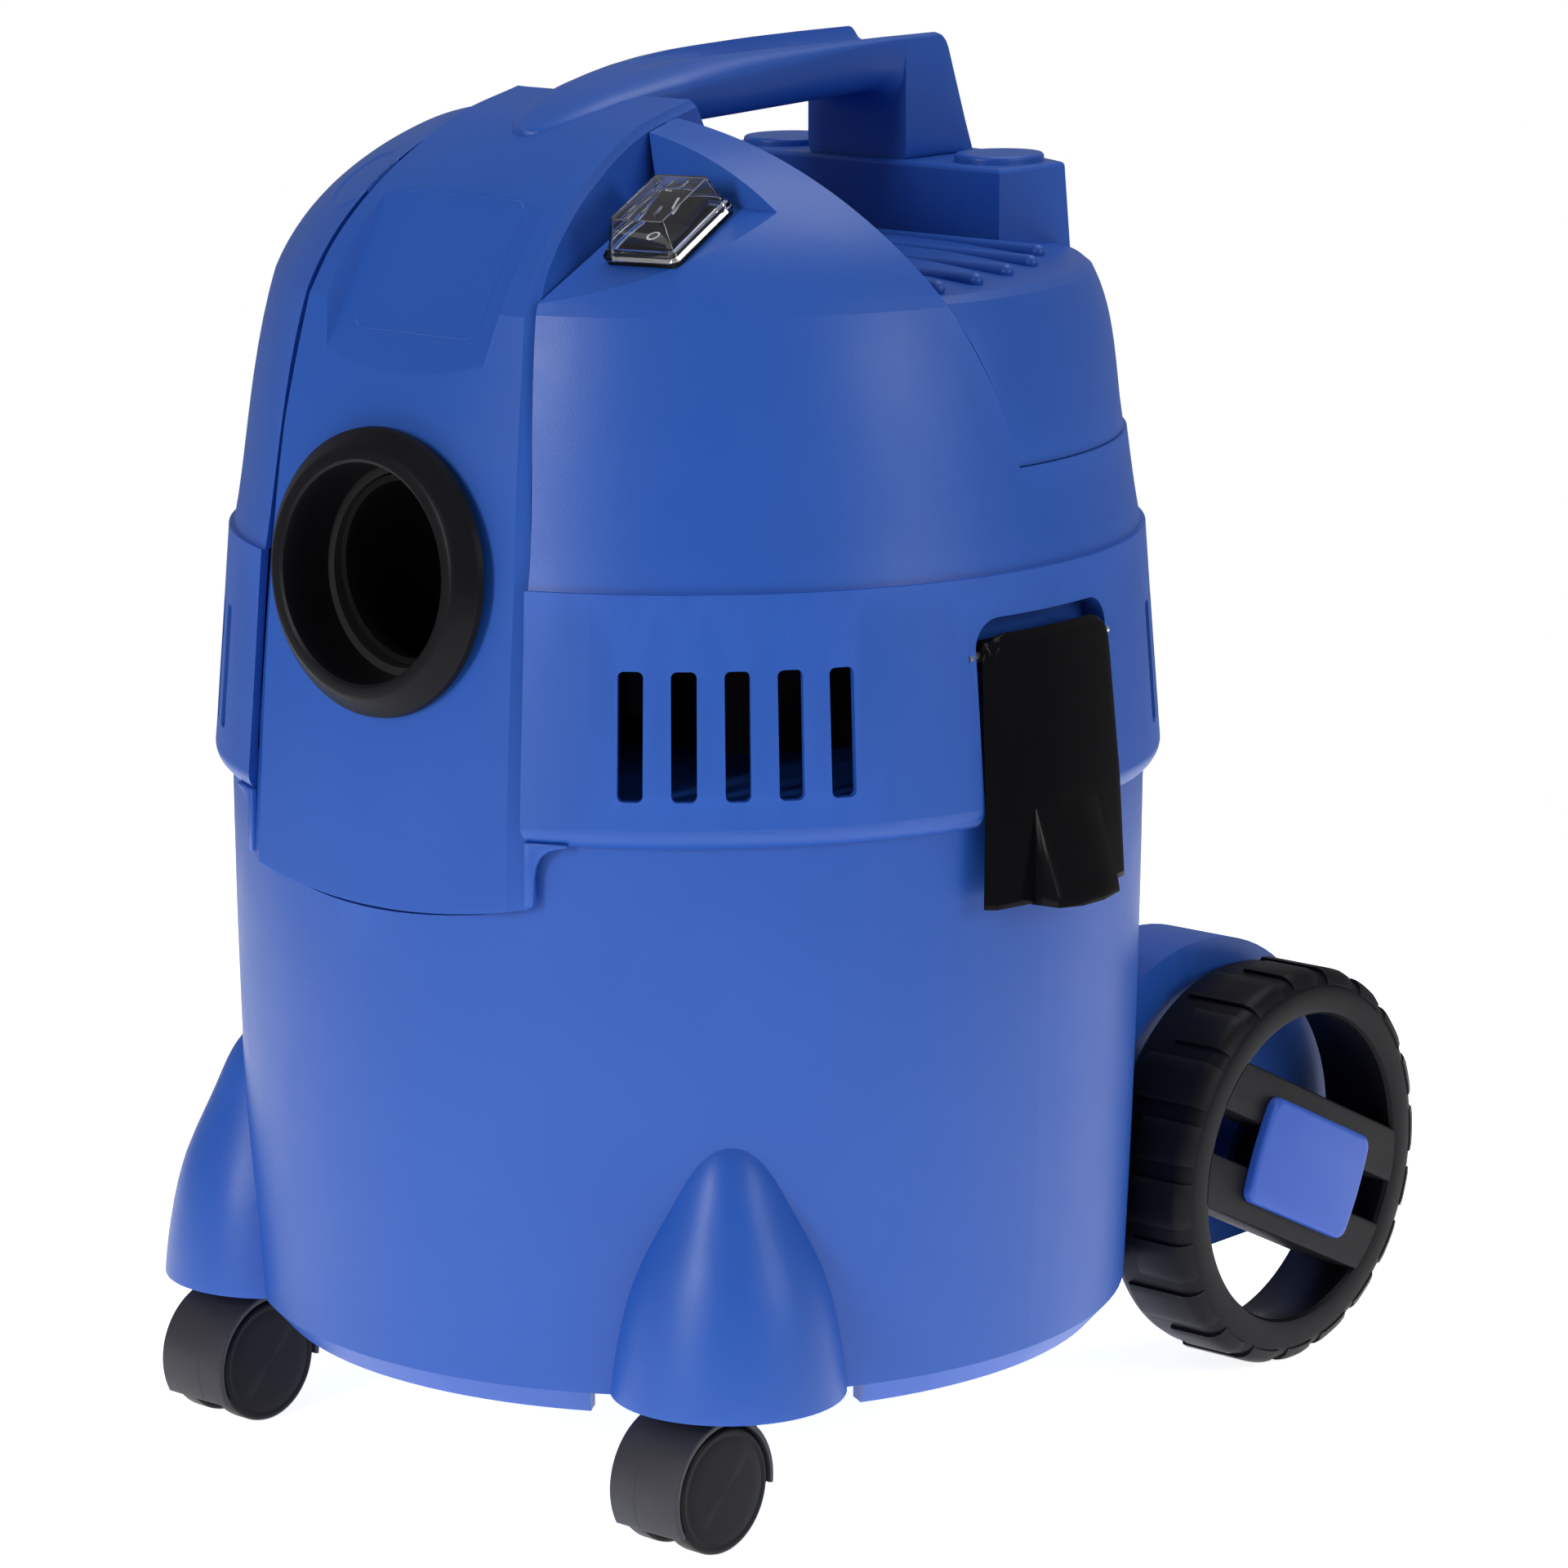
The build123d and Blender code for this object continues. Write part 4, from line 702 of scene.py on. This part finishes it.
def build_wheel(side, s):
    """Big wheel: rim, tread lugs, two slanted bars and the hub behind them, and the blue cap."""
    def place(along, across, up):
        return at(s * along, across + WHEEL_Y, up + WHEEL_Z)

    def leaned(x, u, v):
        """Point given along and across the slanted bars."""
        return place(x, u * math.cos(BAR_TILT) - v * math.sin(BAR_TILT),
                     u * math.sin(BAR_TILT) + v * math.cos(BAR_TILT))

    near, far = WHEEL_IN, WHEEL_OUT
    rim = turned([(near, 56.5), (near, 60.3), (near + 1.2, 61.6), (near + 4, 62.4), (far - 6, 62.4),
                  (far - 3.6, 61.9), (far - 1.6, 60.6), (far - 0.5, 59.0), (far, 57.2), (far, 51.6),
                  (far - 0.5, 49.9), (far - 1.8, 49.1), (far - 6, 49.2), (far - 14, 50.8),
                  (near + 8, 54.2)], place, 180)
    lugs = []
    for i in range(LUGS):
        start, reach = (near + 4.5, 0.118) if i % 2 == 0 else (near + 11.5, 0.105)
        rings = []
        for t in np.linspace(-1, 1, 7):
            a = 2 * math.pi * i / LUGS + reach * t
            end = 0.35 if abs(t) == 1 else 0.0
            section = ((start - 0.2, 61.5), (start + end, 63.4 - end), (start + 0.7, 63.8 - end),
                       (far - 5.2, 63.8 - end), (far - 3.0, 63.1 - end), (far - 1.3, 61.7 - end),
                       (far - 0.1, 59.2 - end), (far - 1.0, 58.4), (far - 6, 60.5))
            rings.append([place(x, r * math.cos(a), r * math.sin(a)) for x, r in section])
        lugs.append(loft(rings))
    bars = []
    for middle in (BAR_MIDDLE, -BAR_MIDDLE):
        rings = []
        for x, grow in ((108.0, -0.5), (108.6, 0), (123.2, 0), (123.9, -0.35), (124.2, -0.9)):
            half = BAR_HALF + grow
            ends = [(math.sqrt(BAR_REACH**2 - v * v), v)
                    for v in np.linspace(middle - half, middle + half, 7)]
            rings.append([leaned(x, u, v) for u, v in ends + [(-u, v) for u, v in ends[::-1]]])
        bars.append(loft(rings))
    hub = turned([(105.6, 5.1), (105.6, 12), (112, 12.2), (112, 5.1)], place, 48)
    wheel = merge(rim, *lugs, *bars, hub)
    wheel = solid("road_wheel_" + side, *wheel, "rear_wheel_" + side, TYRE, angle=32)
    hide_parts("rear_wheel_" + side)

    rings = []
    for x, less in CAP_STEPS:
        half_x, half_y = CAP_HALF_X - less, CAP_HALF_Y - less
        face = bowed(rounded(half_x, half_y, CAP_R), half_x, half_y, CAP_BULGE)
        rings.append([leaned(x, u, v) for u, v in face])
    cap = solid("hub_cap_" + side, *loft(rings), "rear_wheel_" + side, CAP_BLUE, angle=40)
    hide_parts("wheel_cap_" + side)


def build_caster(side, s):
    """Caster's guard over its two discs, and the discs, which turn by themselves."""
    def place(along, across, up):
        return at(s * (CASTER_X + along), CASTER_STEM_Y - CASTER_TRAIL + across, CASTER_AXLE_Z + up)

    def around(along, radius, degrees):
        """Point about the caster's axle, by degrees from the top towards the front."""
        a = math.radians(degrees)
        return place(along, -radius * math.sin(a), radius * math.cos(a))

    shell = loft([[around(x, r, a) for x, r in GUARD_SECTION] for a in np.linspace(-97, 119, 60)])
    seam = loft([[around(x, r, a) for x, r in GUARD_SEAM] for a in np.linspace(-60, 118, 50)])
    web = loft([[around(x, 18.5, a) for a in range(-120, 121, 8)] for x in (-4.5, 4.5)])
    boss = loft([[at(s * (CASTER_X + r * math.cos(a)), CASTER_STEM_Y + r * math.sin(a), z)
                  for a in circle(40)] for r, z in ((8.3, 32.0), (8.3, 42.0), (7.8, 42.6))])
    guard = merge(shell, seam, web, boss)
    guard = solid("caster_guard_" + side, *guard, "caster_" + side, CASTER, bevel=0.3, angle=35)
    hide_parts("caster_hood_" + side)
    for which, d in (("outer", 1), ("inner", -1)):
        disc = turned([(d * x, r) for x, r in DISC_OUTLINE], place, 72, closed=False)
        body = "caster_%s_%s_wheel" % (side, which)
        disc = solid("caster_disc_%s_%s" % (which, side), *disc, body, BLACK, angle=40)
        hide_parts("caster_wheel_%s_%s" % (which, side))


for side, s in (("right", 1), ("left", -1)):
    build_corner(side, s)
    build_latch(side, s)
    build_wheel(side, s)
    build_caster(side, s)


# ---- inlet ring --------------------------------------------------------------------------------
COLLAR_OUTLINE = [(-24, 30.9), (-7, 30.9), (-1.6, 31.5), (-0.5, 31.9), (0, 32.8), (0, 35.4),
                  (-0.4, 36.3), (-1.4, 37.3), (-4.8, 41.0), (-5.6, 41.6), (-7.6, 41.9),
                  (-7.8, 41.5), (-7.8, 34.1), (-24, 34.0)]
collar = turned(COLLAR_OUTLINE, on_inlet, 160)
collar = solid("inlet_collar", *collar, "head", BLACK, angle=24)
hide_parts("inlet_ring")


# ---- camera, light, floor ----------------------------------------------------------------------
SKY_LEVEL, SEEN_LEVEL = 0.24, 1.0     # the white world as a light, and as the camera sees it
FLOOR_HALF = 0.8                      # metres
FLOOR_GLOW = 0.88                     # makes the lit floor as white as the world behind it
scene = bpy.context.scene

camera_data = bpy.data.cameras.new("camera")
camera_data.sensor_width = 36
camera_data.lens = 132.7
camera = bpy.data.objects.new("camera", camera_data)
camera.location = at(1156.9, -1290.7, 565.5)
camera.rotation_euler = (math.radians(77.948), 0, math.radians(40.905))
scene.collection.objects.link(camera)
scene.camera = camera

world = bpy.data.worlds.new("studio")
scene.world = world
world.use_nodes = True
sky = world.node_tree.nodes["Background"]
sky.inputs["Color"].default_value = (1, 1, 1, 1)
seen = world.node_tree.nodes.new("ShaderNodeLightPath")
level = world.node_tree.nodes.new("ShaderNodeMapRange")
level.inputs["To Min"].default_value = SKY_LEVEL
level.inputs["To Max"].default_value = SEEN_LEVEL
world.node_tree.links.new(seen.outputs["Is Camera Ray"], level.inputs["Value"])
world.node_tree.links.new(level.outputs["Result"], sky.inputs["Strength"])
scene.view_settings.view_transform = "Standard"

floor_mesh = bpy.data.meshes.new("floor")
floor_mesh.from_pydata([(FLOOR_HALF * x, FLOOR_HALF * y, 0)
                        for x, y in ((-1, -1), (1, -1), (1, 1), (-1, 1))], [], [(0, 1, 2, 3)])
floor = bpy.data.objects.new("floor", floor_mesh)
scene.collection.objects.link(floor)
FLOOR = material("floor_white", (0.93, 0.93, 0.93), 0.7, 60, 0.02, 0.01, specular=0.2)
floor_shader = FLOOR.node_tree.nodes["Principled BSDF"]
floor_shader.inputs["Emission Color"].default_value = (1, 1, 1, 1)
floor_shader.inputs["Emission Strength"].default_value = FLOOR_GLOW
paint(floor, FLOOR)


def softbox(name, place, target, size_x, size_y, power):
    """Area light aimed at a target; places and sizes in metres, power in watts."""
    data = bpy.data.lights.new(name, "AREA")
    data.shape = "RECTANGLE"
    data.size = size_x
    data.size_y = size_y
    data.energy = power
    light = bpy.data.objects.new(name, data)
    light.location = place
    light.rotation_mode = "QUATERNION"
    light.rotation_quaternion = (Vector(target) - Vector(place)).to_track_quat("-Z", "Y")
    scene.collection.objects.link(light)


softbox("key", (0.0, -1.98, 0.85), (0, 0, 0.2), 0.35, 0.9, 18)
softbox("fill", (2.1, 0.3, 0.9), (0, 0, 0.2), 0.8, 0.8, 10)
softbox("top", (0.2, 0.5, 2.0), (0, 0, 0.3), 1.2, 1.2, 14)
